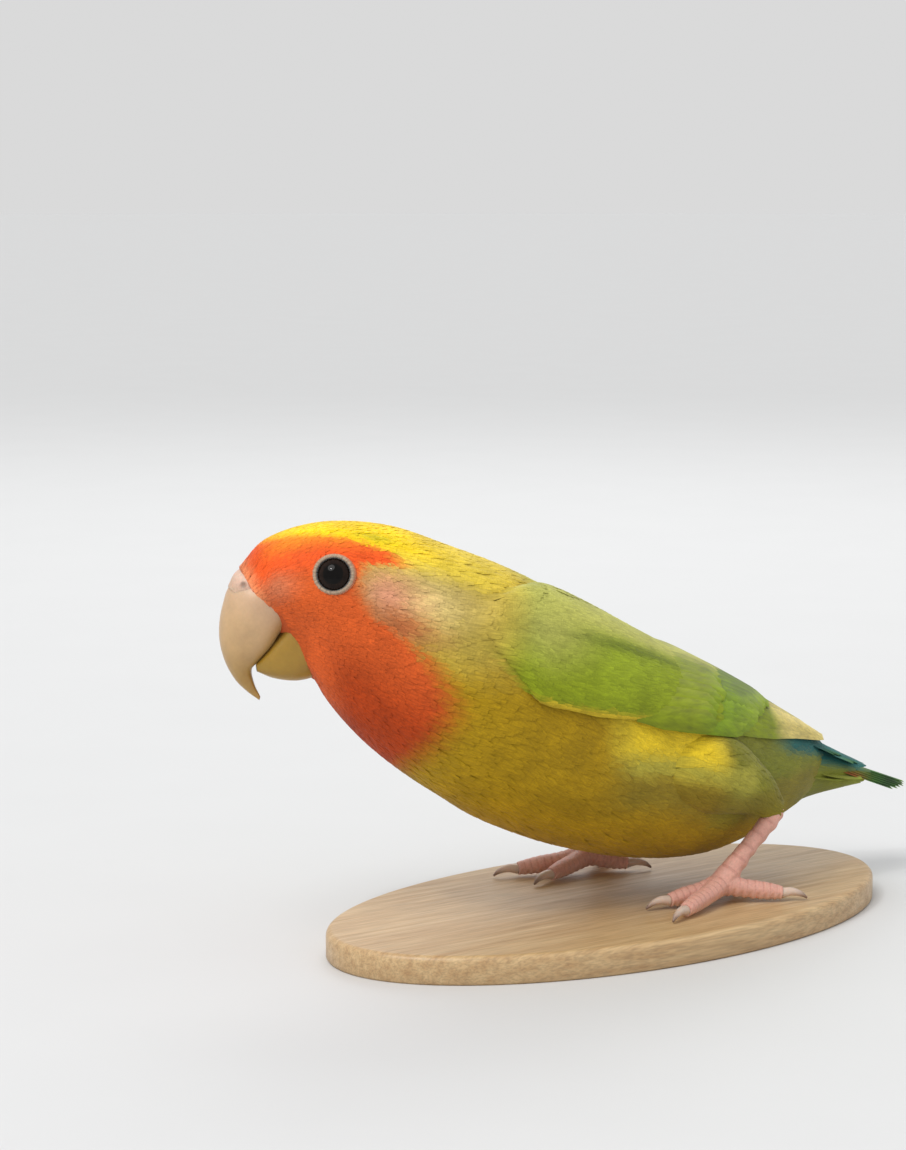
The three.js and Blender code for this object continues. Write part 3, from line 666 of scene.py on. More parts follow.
def horn_look(name, roughness, grain_scale):
    """Bill, cere and claws: a marked colour with a faint cloud and fine growth lines."""
    look = Look(name, Subsurface_Weight=0.25, Subsurface_Scale=0.002, Subsurface_Radius=(1.0, 0.55, 0.35))
    cloud = look.noise(look.place(), 240.0, 3.0)
    grain = look.noise(look.place(), grain_scale, 4.0, 0.6)
    shade = look.math("MULTIPLY", look.spread(cloud, 0.92, 1.06), look.spread(grain, 0.96, 1.04))
    look.colour(look.times(look.marks(), shade))
    look.rough(look.spread(cloud, roughness - 0.06, roughness + 0.08))
    look.bump(grain, 0.00008, 0.4)
    return look.material


def flesh_look(name, roughness):
    look = Look(name, Subsurface_Weight=0.2, Subsurface_Scale=0.0015, Subsurface_Radius=(1.0, 0.4, 0.3))
    wrinkle = look.noise(look.place(), 2400.0, 4.0, 0.6)
    cloud = look.noise(look.place(), 300.0, 2.0)
    shade = look.math("MULTIPLY", look.spread(wrinkle, 0.88, 1.1), look.spread(cloud, 0.92, 1.06))
    look.colour(look.times(look.marks(), shade))
    look.rough(look.spread(wrinkle, roughness - 0.08, roughness + 0.1))
    look.bump(wrinkle, 0.00012, 0.6)
    return look.material


def eye_look():
    look = Look("eye", Specular_IOR_Level=0.14)
    rays = look.noise(look.place(), 1500.0, 2.0)
    look.colour(look.times(look.marks(), look.spread(rays, 0.6, 1.4)))
    look.rough(look.spread(rays, 0.03, 0.06))
    return look.material


def wood_look():
    """Pale beech: long grain along X with short darker flecks."""
    look = Look("stand wood", Coat_Weight=0.25, Coat_Roughness=0.3)
    stretched = look.node("Mapping", {"Vector": look.place(), "Scale": (0.05, 1.0, 1.0)}).outputs[0]
    grain = look.noise(stretched, 700.0, 6.0, 0.65)
    flecks = look.noise(stretched, 3200.0, 2.0)
    share = look.spread(grain, 0.0, 1.0, 0.32, 0.68)
    wood = look.mix(share, rgba(srgb(206, 176, 130)), rgba(srgb(178, 142, 98)))
    look.colour(look.times(wood, look.spread(flecks, 0.82, 1.06, 0.35, 0.6)))
    look.rough(look.spread(grain, 0.42, 0.56))
    look.bump(look.math("ADD", grain, flecks), 0.00006, 0.5)
    return look.material


COAT_LOOK = feather_look("coat", 2.8, 0.0, 0.62)
VANE_LOOK = feather_look("flight feathers", 1.2, 1.3, 0.5)
SKIN_LOOK = skin_look()
BILL_LOOK = horn_look("bill", 0.34, 1400.0)
CERE_LOOK = flesh_look("cere", 0.5)
LID_LOOK = flesh_look("lid", 0.55)
FOOT_LOOK = flesh_look("foot skin", 0.5)
CLAW_LOOK = horn_look("claw", 0.38, 1800.0)
EYE_LOOK = eye_look()
WOOD_LOOK = wood_look()


# Skin: the trunk and the thighs in one surface, inside the solids by the coat's depth
ANKLE = np.array([24.5, -16.6, 20.0])
FOOT = np.array([12.6, -16.0, 8.6])
HEEL = np.array([-1.8, 0.4, 1.9])  # from the ankle to the shank's upper end, inside the thigh
STRIDE = -5.0
thigh = Limb(
    [(-9.0, -13.6, 33.0), (0.5, -14.6, 31.6), (10.5, -14.8, 29.0), (19.5, -15.4, 24.8), (25.0, -16.6, 20.4)],
    [2.0, 6.2, 7.6, 5.0, 2.2],
    squash=0.85,
)
THIGH_COAT = 0.9
THIGH_TOP = 42.0  # the thighs' marks stay below this height
SKIN_GRID = (240, 120)
SKIN_VOXEL = 0.55
SKIN_EASE = 4  # rounds of smoothing
# SKIN_SHADE paints the skin darker than its coat: painted shade for the gaps between the vanes.
SKIN_SHADE = 0.9  # how bright the skin is beside its coat


def on_side(points, side):
    """Places made for the left leg, for the left one (1) or the right one (-1)."""
    if side > 0:
        return points
    return points * [1, -1, 1] + [STRIDE, 0, 0]


def make_skin():
    t, a = ring_grid(np.linspace(-1.0, body.last + 1.0, SKIN_GRID[0]), SKIN_GRID[1])
    shell = body.at(t, a, -coat_depth(t))
    bodies = [closed_tube(shell)]
    thigh_grid = ring_grid(np.linspace(0, thigh.last, 40), 40)
    for side in (1, -1):
        points, faces = closed_tube(on_side(thigh.at(*thigh_grid, -THIGH_COAT), side))
        bodies.append((points, sided(faces, side)))
    points, faces = fused(bodies, SKIN_VOXEL, SKIN_EASE)
    index, off = nearest(shell.reshape(-1, 3), points)
    colours = markings(t.ravel()[index], a.ravel()[index])
    lobe = between(off, 0.5, 1.6) * (points[:, 2] < THIGH_TOP)
    # Painted shade: the skin is darker than the coat, for the gaps between the vanes.
    colours = blend(colours, THIGH, lobe) * SKIN_SHADE
    nodes = ("torso", "neck", "head", "thigh_left", "thigh_right")
    build("skin", points, faces, colours, SKIN_LOOK, "breast_feathers", nodes)


# Coat: thin vanes that lie along a surface. A vane's section has its lower edge, shaft, upper edge and
# underside, so each vane is closed.
SECTION = 4
PATCH = 0.003  # the size of a vane's patch on the OFBake map
RISE = 0.32  # vanes rise steeply at their roots and then lie flat on each other
VANE_RIDGE = 0.05  # how far a vane's shaft stands above its edges, as a share of its width
EDGE_TILT = 0.22  # how far its edges turn away to their sides, for the light
TIP_REACH = 0.05
THICK_SHARE = 0.05  # a vane's thickness as a share of its width, with THICK_LEAST added, up to THICK_MOST
THICK_LEAST = 0.03
THICK_MOST = 0.12
TUFT_PROFILE = [0.55, 1.0, 0.95, 0.3]  # a vane's width along it, as a share of its widest
VANE_PROFILE = [0.45, 0.95, 1.0, 0.9, 0.35]
UNEVEN = (0.85, 1.15)  # how much lengths and widths differ from vane to vane


def vane_faces(count, rows):
    tip = (rows - 1) * SECTION
    ends = [[0, 1, 2, 3], [tip, tip + 3, tip + 2, tip + 1]]
    one = np.concatenate([band_faces(rows, SECTION), ends])
    starts = np.arange(count) * rows * SECTION
    return (one[None] + starts[:, None, None]).reshape(-1, 4)


class Vanes:
    """Closed vanes rooted at stations t and angles a of a surface. heading is a vane's way over the surface,
    in degrees from straight back. Its root lies sink below the surface and its tip lift above it. points are
    (vanes, rows, section, 3), tips are for put_mesh, and row_t and row_a say where each row's shaft is."""

    def __init__(self, surface, t, a, heading, length, width, sink, lift, profile=VANE_PROFILE):
        self.count, self.rows = len(t), len(profile)
        self.length, self.width = length[:, None, None], width[:, None, None]
        limits = surface.limits()
        profile = np.asarray(profile)[None]
        share = np.linspace(0.0, 1.0, self.rows)[None]
        to_t, to_a = surface.scale(t, a)
        run = share * length[:, None]
        way = np.radians(heading[:, None])
        half = profile * width[:, None] / 2
        to_t, to_a = to_t[:, None], to_a[:, None]
        mid_t = np.clip(t[:, None] + run * np.cos(way) / to_t, *limits)
        mid_a = a[:, None] + run * np.sin(way) / to_a
        edge_t = -half * np.sin(way) / to_t
        edge_a = half * np.cos(way) / to_a
        root, tip = (np.broadcast_to(level, t.shape)[:, None] for level in (sink, lift))
        high = lerp(-root, tip, share**RISE)
        ridge = VANE_RIDGE * width[:, None] * profile
        thick = np.minimum(THICK_SHARE * width[:, None] + THICK_LEAST, THICK_MOST) * (1.2 - share)
        left = (np.clip(mid_t - edge_t, *limits), mid_a - edge_a)
        right = (np.clip(mid_t + edge_t, *limits), mid_a + edge_a)
        places = [left, (mid_t, mid_a), right, (mid_t, mid_a)]
        levels = [high, high + ridge, high, high + ridge - thick]
        points = np.stack([surface.raised(*place, level) for place, level in zip(places, levels)], 2)
        out = np.stack([surface.normal(*place) for place in places], 2)
        side = points[:, :, 2] - points[:, :, 0]
        side = side / np.maximum(np.linalg.norm(side, axis=-1, keepdims=True), 1e-6)
        tilt = np.array([-EDGE_TILT, 0.0, EDGE_TILT, 0.0])[:, None]
        out = unit(out + side[:, :, None] * tilt) * np.array([1.0, 1.0, 1.0, -1.0])[:, None]
        self.points, self.tips = points, points + out * TIP_REACH
        self.row_t, self.row_a = mid_t, mid_a

    def maps(self, faces, root_uv, seed):
        """The Vane map, millimetres across and along each vane, and OFBake, where each vane is a small patch
        at its root's place."""
        draw = np.random.default_rng(seed)
        corners = faces.ravel()

        def spread(across, along):
            shape = (self.count, self.rows, SECTION)
            return np.stack([np.broadcast_to(v, shape).ravel() for v in (across, along)], 1)

        along = np.linspace(0, 1, self.rows)[None, :, None]
        shift = draw.uniform(0, 40, self.count)[:, None, None]
        vane = spread(np.array([-0.5, 0.0, 0.5, 0.0]) * self.width, along * self.length + shift)
        root = np.repeat(root_uv, self.rows * SECTION, axis=0)
        bake = root + (spread(np.array([0.0, 0.5, 1.0, 0.5]), along) - 0.5) * PATCH
        return [("Vane", vane[corners]), ("OFBake", bake[corners])]

    def colours(self, colour, draw, contrast):
        """Colours for each point from one for each row: darker at the root, and a little lighter or darker
        from vane to vane. contrast may differ from vane to vane too."""
        contrast = np.broadcast_to(contrast, self.count)[:, None]
        along = 1 + contrast * (1.5 * np.linspace(0, 1, self.rows) - 1)
        light = along * (1 + contrast * draw.uniform(-1, 1, self.count)[:, None])
        full = (colour * light[:, :, None])[:, :, None] * np.ones((SECTION, 1))
        return full.reshape(-1, 3)

    def build(self, name, slot, colour, root_uv, draw, seed, contrast=0.05, side=1, place=mirror):
        """Makes them a piece of the coat. colour has a colour for each row, and root_uv each root's place
        on the OFBake map."""
        faces = vane_faces(self.count, self.rows)
        colours = self.colours(colour, draw, contrast)
        maps = self.maps(faces, root_uv, seed)
        points, tips = self.points.reshape(-1, 3), self.tips.reshape(-1, 3)
        build(name, points, [faces], colours, COAT_LOOK, slot, (), maps, tips, side, place)


def body_uv(t, a):
    """The trunk rolled out flat: along it, and round it."""
    u = 0.02 + 0.96 * np.clip(t / body.last, 0, 1)
    v = 0.02 + 0.8 * ((np.asarray(a) + 180.0) % 360.0) / 360.0
    return np.stack([u, v], 1)


# The eye and what keeps the coat clear of it and of the bill
EYE_CENTRE = np.array([-55.9, -8.1, 67.8])
EYE_RADIUS = 3.5
EYE_OUT = unit(np.array([-0.2, -1.0, 0.26]))
EYE_PLACE = (2.04, 30.5)  # station and angle of the eye on the trunk
RING_REACH = 3.2
FACE_EDGE_Z = [44.0, 49.0, 53.0, 56.0, 58.0, 60.0, 61.0, 62.3, 63.5, 65.5, 66.4, 68.0]
FACE_EDGE_X = [-60.5, -61.5, -62.5, -63.0, -64.0, -65.0, -66.0, -68.5, -70.5, -71.5, -73.0, -74.0]


def flow_round_eye(t, a):
    """Headings of a flow that parts at the front of the eye and closes behind it, how far each place is from
    the eye's middle, and how far behind it."""
    to_t, to_a = body.scale(t, a)
    side = folded(a)
    hand = np.where(np.abs((a + 180) % 360 - 180) > 90, -1.0, 1.0)
    x = (t - EYE_PLACE[0]) * to_t
    y = (side - EYE_PLACE[1]) * to_a
    far2 = x * x + y * y + 1e-6
    round2 = RING_REACH**2
    along = 1 - round2 * (x * x - y * y) / far2**2
    over = -2 * round2 * x * y / far2**2
    return np.degrees(np.arctan2(over, np.maximum(along, 0.4))) * hand, np.sqrt(far2), x


# Coat sizes by station: steps along and across between roots, in millimetres
STEP_STATIONS = [0.0, 1.5, 3.0, 4.0, 5.0, 7.0, 11.0]
STEP_ALONG = [0.62, 0.72, 0.95, 1.25, 1.5, 1.6, 1.5]
STEP_ACROSS = [0.36, 0.40, 0.48, 0.62, 0.8, 0.9, 0.9]
LENGTH_STEPS = 3.9  # a vane is this many steps long, and its width this many steps across
WIDTH_STEPS = 2.2
LOWER_EDGE = [5, -2, 4, 14, 24, 34, 50, 70, 78]
UPPER_EDGE = [46, 64, 76, 83, 87, 88, 87, 85, 84]
TUCK = 7  # degrees that the coat reaches in under a wing's edges


def wing_edges(s):
    """The angles of the wing's lower and upper edge at its station s."""
    stations = np.arange(len(LOWER_EDGE))
    return np.interp(s, stations, LOWER_EDGE), np.interp(s, stations, UPPER_EDGE)


def under_wing(t, a):
    """True well inside a wing's outline, where no coat shows."""
    s = t - FIRST_WING_STATION
    side = folded(a)
    low, high = wing_edges(s)
    return (s > 0.9) & (side > low + TUCK) & (side < high - TUCK)


def coat_roots(t_from, t_to, draw):
    """Roots in rows from t_from to t_to, each row's roots between those of the row before."""
    ts, angles = [], []
    t = t_from
    row = 0
    while t < t_to:
        to_t, to_a = body.scale(np.full(72, t), np.arange(72) * 5.0)
        count = int(np.sum(to_a) * 5.0 / np.interp(t, STEP_STATIONS, STEP_ACROSS))
        place = np.cumsum(np.concatenate([[0.0], (to_a + np.roll(to_a, -1)) / 2]))
        even = (np.arange(count) + 0.5 * (row % 2)) / count * place[-1]
        a = np.interp(even, place, np.arange(73) * 5.0)
        ts.append(np.full(count, t))
        angles.append(a)
        t += np.interp(t, STEP_STATIONS, STEP_ALONG) / np.max(to_t)
        row += 1
    t, a = np.concatenate(ts), np.concatenate(angles)
    to_t, to_a = body.scale(t, a)
    along = np.interp(t, STEP_STATIONS, STEP_ALONG)
    across = np.interp(t, STEP_STATIONS, STEP_ACROSS)
    t = t + draw.uniform(-0.3, 0.3, len(t)) * along / to_t
    a = a + draw.uniform(-0.3, 0.3, len(t)) * across / to_a
    return t, a, along, across


def in_thigh(p):
    """True for points of the trunk that lie well inside a thigh."""
    stations = np.linspace(0, thigh.last, 24)
    radius = spline(thigh.radii, stations)[:, 0]
    inside = np.zeros(len(p), bool)
    for side in (1, -1):
        path = on_side(spline(thigh.points, stations), side)
        gap = np.linalg.norm(p[:, None] - path[None], axis=-1) - radius[None]
        inside |= gap.min(1) < -1.2
    return inside


SCRUFF = 7.0  # how far headings stray, in degrees
COATS = {  # the stations from and to, the seed of the draws, the slot and the shape of the vanes
    "coat_face": (-0.5, 1.75, 21, "face_feathers", TUFT_PROFILE),
    "coat_head": (1.75, 3.3, 22, "face_feathers", TUFT_PROFILE),
    "coat_neck": (3.3, 5.0, 23, "neck_feathers", VANE_PROFILE),
    "coat_body": (5.0, 11.0, 24, "breast_feathers", VANE_PROFILE),
}


def make_coat(name, t_from, t_to, seed, slot, profile):
    """One stretch of the coat."""
    draw = np.random.default_rng(seed)
    t, a, along, across = coat_roots(t_from, t_to, draw)
    heading, far, ahead = flow_round_eye(t, a)
    p = body.at(t, a)
    keep = (far > RING_REACH) & ~under_wing(t, a) & ~in_thigh(p)
    keep &= p[:, 0] > np.interp(p[:, 2], FACE_EDGE_Z, FACE_EDGE_X)
    t, a, along, across, heading, far, ahead = (v[keep] for v in (t, a, along, across, heading, far, ahead))
    count = len(t)
    heading = heading + draw.normal(0, SCRUFF, count)
    length = along * LENGTH_STEPS * draw.uniform(*UNEVEN, count)
    clear = np.minimum(length, np.maximum(far - RING_REACH + 0.5, 0.6))
    length = lerp(length, clear, between(-ahead, 0.8, 2.4))
    width = across * WIDTH_STEPS * draw.uniform(*UNEVEN, count)
    depth = coat_depth(t)
    lift = depth * draw.uniform(-0.06, 0.0, count)
    vanes = Vanes(body, t, a, heading, length, width, depth + 0.15, lift, profile)
    stray_t = draw.normal(0, 0.025, (count, 1))
    stray_a = draw.normal(0, 0.8, (count, 1))
    colour = markings(vanes.row_t + stray_t, vanes.row_a + stray_a)
    contrast = 0.06 + 0.09 * spot(t, folded(a), (3.1, 20.0), (1.2, 30.0))
    vanes.build(name, slot, colour, body_uv(t, a), draw, seed, contrast)


def limb_roots(stations, counts, draw):
    """Roots in rings round a limb, each ring's roots between those of the ring before."""
    t = np.repeat(stations, counts)
    a = np.concatenate([(np.arange(n) + 0.5 * (i % 2)) * 360.0 / n for i, n in enumerate(counts)])
    return t + draw.uniform(-0.06, 0.06, len(t)), a + draw.uniform(-3, 3, len(t))


def make_thigh_coat(name, side, seed):
    draw = np.random.default_rng(seed)
    stations = np.arange(0.8, 3.75, 0.14)
    counts = (2 * math.pi * spline(thigh.radii, stations)[:, 0] / 0.8).astype(int)
    t, a = limb_roots(stations, counts, draw)
    count = len(t)
    length = np.interp(t, [0, 3, 4], [6.5, 4.4, 1.4]) * draw.uniform(*UNEVEN, count)
    width = np.interp(t, [0, 3, 4], [1.8, 1.4, 0.9]) * draw.uniform(*UNEVEN, count)
    heading = draw.normal(0, SCRUFF, count)
    vanes = Vanes(thigh, t, a, heading, length, width, THIGH_COAT + 0.1, 0.0)
    # The thigh coat's marks, with painted shade under its bright lobe.
    colour = thigh_marks_and_shade(plain(MUSTARD, vanes.row_t.shape), thigh.at(vanes.row_t, vanes.row_a))
    along = 0.05 + 0.4 * t / thigh.last + (0.5 if side < 0 else 0.0)
    root_uv = np.stack([along, 0.85 + 0.12 * (a % 360) / 360], 1)
    name = "coat_thigh_" + name
    vanes.build(name, "breast_feathers", colour, root_uv, draw, seed, side=side, place=on_side)


# Flight feathers: a fine closed vane with COLUMNS across. place(along, across, raise) gives its points.
COLUMNS = 7
VANE_ROWS = 13
VANE_THICK = 0.13
CAMBER = 0.08  # how far a flight vane's shaft stands above its edges, as a share of half its width
VANE_TILT = 0.25  # how far its edges turn away to their sides, for the light
ALONG, OVER = np.meshgrid(np.linspace(0, 1, VANE_ROWS), np.linspace(-1, 1, COLUMNS), indexing="ij")


def vane_width(share, blunt=0.82):
    """Half the vane's width along it, as a share of the widest, with a rounded tip from blunt on."""
    base = 0.55 + 0.45 * smooth(share / 0.35)
    tip = np.sqrt(np.maximum(1 - (np.maximum(share - blunt, 0) / (1.0001 - blunt)) ** 2.2, 0.0))
    return base * (0.06 + 0.94 * tip)


def vane_shell():
    """The faces of one vane: its upper side, its underside and the rim between them."""
    ring = VANE_ROWS * COLUMNS
    i, j = np.divmod(np.arange((VANE_ROWS - 1) * (COLUMNS - 1)), COLUMNS - 1)
    a = i * COLUMNS + j
    top = np.stack([a, a + COLUMNS, a + COLUMNS + 1, a + 1], 1)
    across, along = np.arange(COLUMNS), np.arange(1, VANE_ROWS) * COLUMNS
    rim = np.concatenate([across, along + COLUMNS - 1, (along[-1] + across)[-2::-1], along[-2::-1]])
    after = np.roll(rim, -1)
    return np.concatenate([top, top[:, ::-1] + ring, np.stack([rim, after, after + ring, rim + ring], 1)])


def joined(grids):
    """Grids of points, colours or places on a map, one after the other."""
    return np.concatenate([grid.reshape(-1, grid.shape[-1]) for grid in grids])


def flight_vanes(places, cell_rows):
    """Points, tips, faces and maps for fine vanes. Each has its own cell in the OFBake map, so that the
    colours along it stay apart."""
    share = ALONG**0.85
    width = vane_width(share)
    points, tips, vane, bake = [], [], [], []
    for k, (place, half, length) in enumerate(places):
        camber = CAMBER * half * (1 - OVER**2)
        thick = VANE_THICK * (1 - 0.55 * np.abs(OVER)) * (1 - 0.5 * share)
        upper = place(share, OVER * width, camber + thick)
        lower = place(share, OVER * width, camber)
        points += [upper, lower]
        tilt = place(share, OVER * width * (1 + VANE_TILT), camber + thick + half * VANE_TILT)
        facing = unit(tilt - upper) * TIP_REACH
        tips += [upper + facing, lower - facing]
        vane += [np.stack([OVER * width * half, share * length + 13.7 * k], -1)] * 2
        cell = np.array([k % cell_rows, k // cell_rows]) + 0.06
        spot_uv = np.stack([(OVER * 0.5 + 0.5), share], -1) * [0.42, 0.88]
        bake += [(spot_uv + cell) / cell_rows, (spot_uv + [0.45, 0.0] + cell) / cell_rows]
    faces = np.concatenate([vane_shell() + 2 * ALONG.size * k for k in range(len(places))])
    corners = faces.ravel()
    maps = [("Vane", joined(vane)[corners]), ("OFBake", joined(bake)[corners])]
    return joined(points), joined(tips), faces, maps


# Wings: the sheet that they lie on is the trunk's own surface from the shoulder on, then PAST_RUMP
def thinning(a):
    """How the wing's height dwindles towards its upper edge."""
    return lerp(1.0, 0.5, between(a, 40, 80))


class Sheet(Surface):
    """The left wing's sheet. raised() thins the wing towards its upper edge."""

    tube = Tube(TRUNK[FIRST_WING_STATION:-1] + PAST_RUMP, 2.3, 2.1)

    def at(self, t, a):
        return self.tube.at(t, a)

    def raised(self, t, a, high):
        high = np.broadcast_to(high, np.shape(t)) * thinning(a)
        return self.at(t, a) + self.normal(t, a) * high[..., None]


sheet = Sheet()


def over_wing(s, share):
    """The angle at a share of the way from the wing's lower edge to its upper one."""
    return lerp(*wing_edges(s), share)


GREEN = srgb(132, 146, 24)
LEAF = srgb(124, 150, 30)
LIME = srgb(150, 168, 40)
OLIVE = srgb(140, 146, 50)
TERTIAL = srgb(160, 162, 70)
PALE_SHOULDER = srgb(170, 170, 84)
YELLOW_EDGE = srgb(204, 176, 44)
CREAM = srgb(220, 200, 118)
DARK = srgb(72, 84, 30)
SCAPULAR = srgb(180, 180, 88)

# Rows of wing feathers: how many, the roots' and tips' stations and shares of the way over the wing, each
# from the row's lowest feather to its highest, half a vane's width, and the height of the lowest and the step
# to the next.
WING_ROWS = {
    "primary": (10, (3.2, 3.7), (6.9, 6.3), (0.08, 0.4), (0.14, 0.88), 2.8, 0.4, 0.1),
    "secondary": (10, (2.6, 3.4), (4.25, 5.0), (0.05, 0.62), (0.05, 0.5), 2.6, 1.1, 0.06),
    "tertial": (6, (2.7, 3.1), (4.7, 5.4), (0.62, 0.95), (0.56, 0.93), 2.6, 1.6, 0.05),
    "greater": (14, (2.5, 3.0), (3.6, 4.15), (0.03, 0.97), (0.03, 0.95), 2.1, 1.75, 0.012),
}
ROW_COLOURS = {
    "primary": (GREEN, DARK, CREAM),
    "secondary": (LEAF, DARK, LIME),
    "tertial": (TERTIAL, DARK, OLIVE),
    "greater": (GREEN, OLIVE, LEAF),
}
INNER_SHARES = {"primary": 0.7, "secondary": 0.6, "tertial": 0.25, "greater": 0.35}
ROOT_DROP = 0.9  # how much lower a feather's root lies
SHINGLE = 0.14  # how much one edge of a feather stands over the other
STATION_LENGTH = 14.0
UNDERSIDE = 0.8  # how bright an underside is beside its upper side


def wing_place(root, tip, root_share, tip_share, half, raised):
    """The points of one wing feather on the sheet, for shares along it and across it."""

    def place(along, across, high):
        s = lerp(root, tip, along)
        share = lerp(root_share, tip_share, along**1.15)
        n = raised - ROOT_DROP * (1 - smooth(along * 2.2))
        centre = sheet.raised(s, over_wing(s, share), n)
        ahead = sheet.raised(s + 0.05, over_wing(s + 0.05, share), n)
        up = unit(sheet.raised(s, over_wing(s, share), n + 1) - centre)
        way = unit(ahead - centre)
        side = unit(np.cross(up, way))
        return centre + side * (across * half)[..., None] + up * (high + across * SHINGLE)[..., None]

    return place


def wing_colours(row, share):
    """Colours over one feather of a row, which is a share of the way from its lowest to its highest."""
    main, inner, end = ROW_COLOURS[row]
    c = blend(plain(main, OVER.shape), inner, between(OVER, 0.25, 1.0) * INNER_SHARES[row])
    if row == "primary":
        pale = between(ALONG, 0.4, 0.55) * (1 - between(share, 0.55, 0.8))
        c = blend(c, end, pale * (1 - between(OVER, 0.8, 1.0) * 0.4))
        return blend(c, DARK, between(share, 0.6, 0.85) * 0.7 * np.ones_like(OVER))
    c = blend(c, end, between(ALONG, 0.6, 1.0) * (1 - between(OVER, 0.3, 1.0)) * 0.6)
    if row == "greater":
        c = blend(c, SCAPULAR, between(share, 0.44, 0.62) * (1 - between(ALONG, 0.6, 1.0) * 0.6))
    return c


def make_wing(name, side, seed):
    draw = np.random.default_rng(seed)
    places, colours = [], []
    for row, (count, root, tip, root_span, tip_span, half, raised, step) in WING_ROWS.items():
        for k in range(count):
            share = k / (count - 1)
            reach = lerp(*tip, share) + draw.uniform(-0.06, 0.06)
            start = lerp(*root, share)
            shares = lerp(*root_span, share), lerp(*tip_span, share)
            wide = half * (1 - 0.6 * share) if row == "primary" else half
            lay = wing_place(start, reach, *shares, wide, raised + step * k)
            places.append((lay, wide, (reach - start) * STATION_LENGTH))
            c = wing_colours(row, share) * draw.uniform(0.9, 1.1)
            colours += [c, c * UNDERSIDE]
    points, tips, faces, maps = flight_vanes(places, 9)
    mesh = (points, [faces], joined(colours))
    build("wing_feathers_" + name, *mesh, VANE_LOOK, "wing_feathers", ("wing_" + name,), maps, tips, side)


# The wing's fore part, which carries the coverts: from ARM_START to ARM_END, as high over the sheet as
# ARM_LEVELS at its front and rear, and ARM_RIM at its rim.
ARM_START, ARM_END = 0.05, 3.3
ARM_ROUND = 1.15  # stations over which its front rounds off
ARM_LEVELS = (2.3, 1.35)
ARM_RIM = 0.45
ARM_GRID = (50, 36)


def arm_width(s):
    """The share of the wing's whole width that its fore part has."""
    return np.sqrt(1 - (1 - np.clip((s - ARM_START) / ARM_ROUND, 0.0, 1.0)) ** 2) * 0.96 + 0.04


def arm_height(s, share):
    """How high the wing's fore part stands over the sheet."""
    wide = arm_width(s)
    off = np.clip(np.abs(2 * share - 1) / wide, 0.0, 1.0)
    high = lerp(*ARM_LEVELS, between(s, 1.0, ARM_END))
    return ARM_RIM + high * np.sqrt(1 - off**4) * wide


class WingArm(Surface):
    """Its upper surface. t is a station of the sheet, a the share of the way over the wing."""

    NUDGE = 0.002
    last = sheet.tube.last

    def at(self, t, a, deeper=0.0):
        t, a = np.broadcast_arrays(np.asarray(t, float), np.asarray(a, float))
        return sheet.raised(t, over_wing(t, a), arm_height(t, a) - deeper)


def on_arm(t, a):
    """The wing's station and share of the way over it for a place on the trunk, and how far it is on the
    wing's fore part, from 0 to 1."""
    s = np.asarray(t, float) - FIRST_WING_STATION
    low, high = wing_edges(s)
    share = (folded(a) - low) / (high - low)
    within = between(arm_width(s) - np.abs(2 * share - 1), -0.02, 0.08)
    within = within * between(s, ARM_START - 0.03, ARM_START + 0.1)
    return s, np.clip(share, 0.0, 1.0), within


class Shoulder(Trunk):
    """The trunk's surface with the fore part of each wing on it."""

    def at(self, t, a, grow=0.0):
        s, share, within = on_arm(t, a)
        return super().at(t, a, grow + arm_height(s, share) * thinning(folded(a)) * within)


arm = WingArm()


def make_wing_arm(name, side):
    t, a = np.meshgrid(np.linspace(0, 1, ARM_GRID[0]) ** 1.4, np.linspace(0, 1, ARM_GRID[1]), indexing="ij")
    s = lerp(ARM_START + 0.3, ARM_END, t)
    share = lerp(0.5, a, arm_width(s) * 0.97)
    top = arm.at(s, share, 0.5)
    bottom = sheet.raised(s, over_wing(s, share), -0.4)
    points, faces = closed_tube(np.concatenate([top, bottom[:, ::-1]], 1))
    colours = covert_colours(np.concatenate([s, s], 1), np.concatenate([share, share], 1)).reshape(-1, 3)
    colours = np.concatenate([colours, colours[:1], colours[-1:]])
    build("wing_arm_" + name, points, faces, colours, SKIN_LOOK, "wing_feathers", side=side)


def covert_colours(s, share):
    c = blend(plain(GREEN, s.shape), LIME, spot(s, share, (2.1, 0.35), (1.5, 0.35)) * 0.6)
    c = blend(c, PALE_SHOULDER, spot(s, share, (0.85, 0.5), (1.3, 0.45)))
    c = blend(c, SCAPULAR, between(share, 0.44, 0.62))
    c = blend(c, DARK, spot(s, share, (2.3, 0.46), (1.9, 0.07)) * 0.5)
    c = blend(c, YELLOW_EDGE, (1 - between(share, 0.01, 0.045)) * (1 - between(s, 2.4, 3.3)) * 0.9)
    return blend(c, markings(s + FIRST_WING_STATION, over_wing(s, share)), 1 - between(s, 0.12, 0.75))


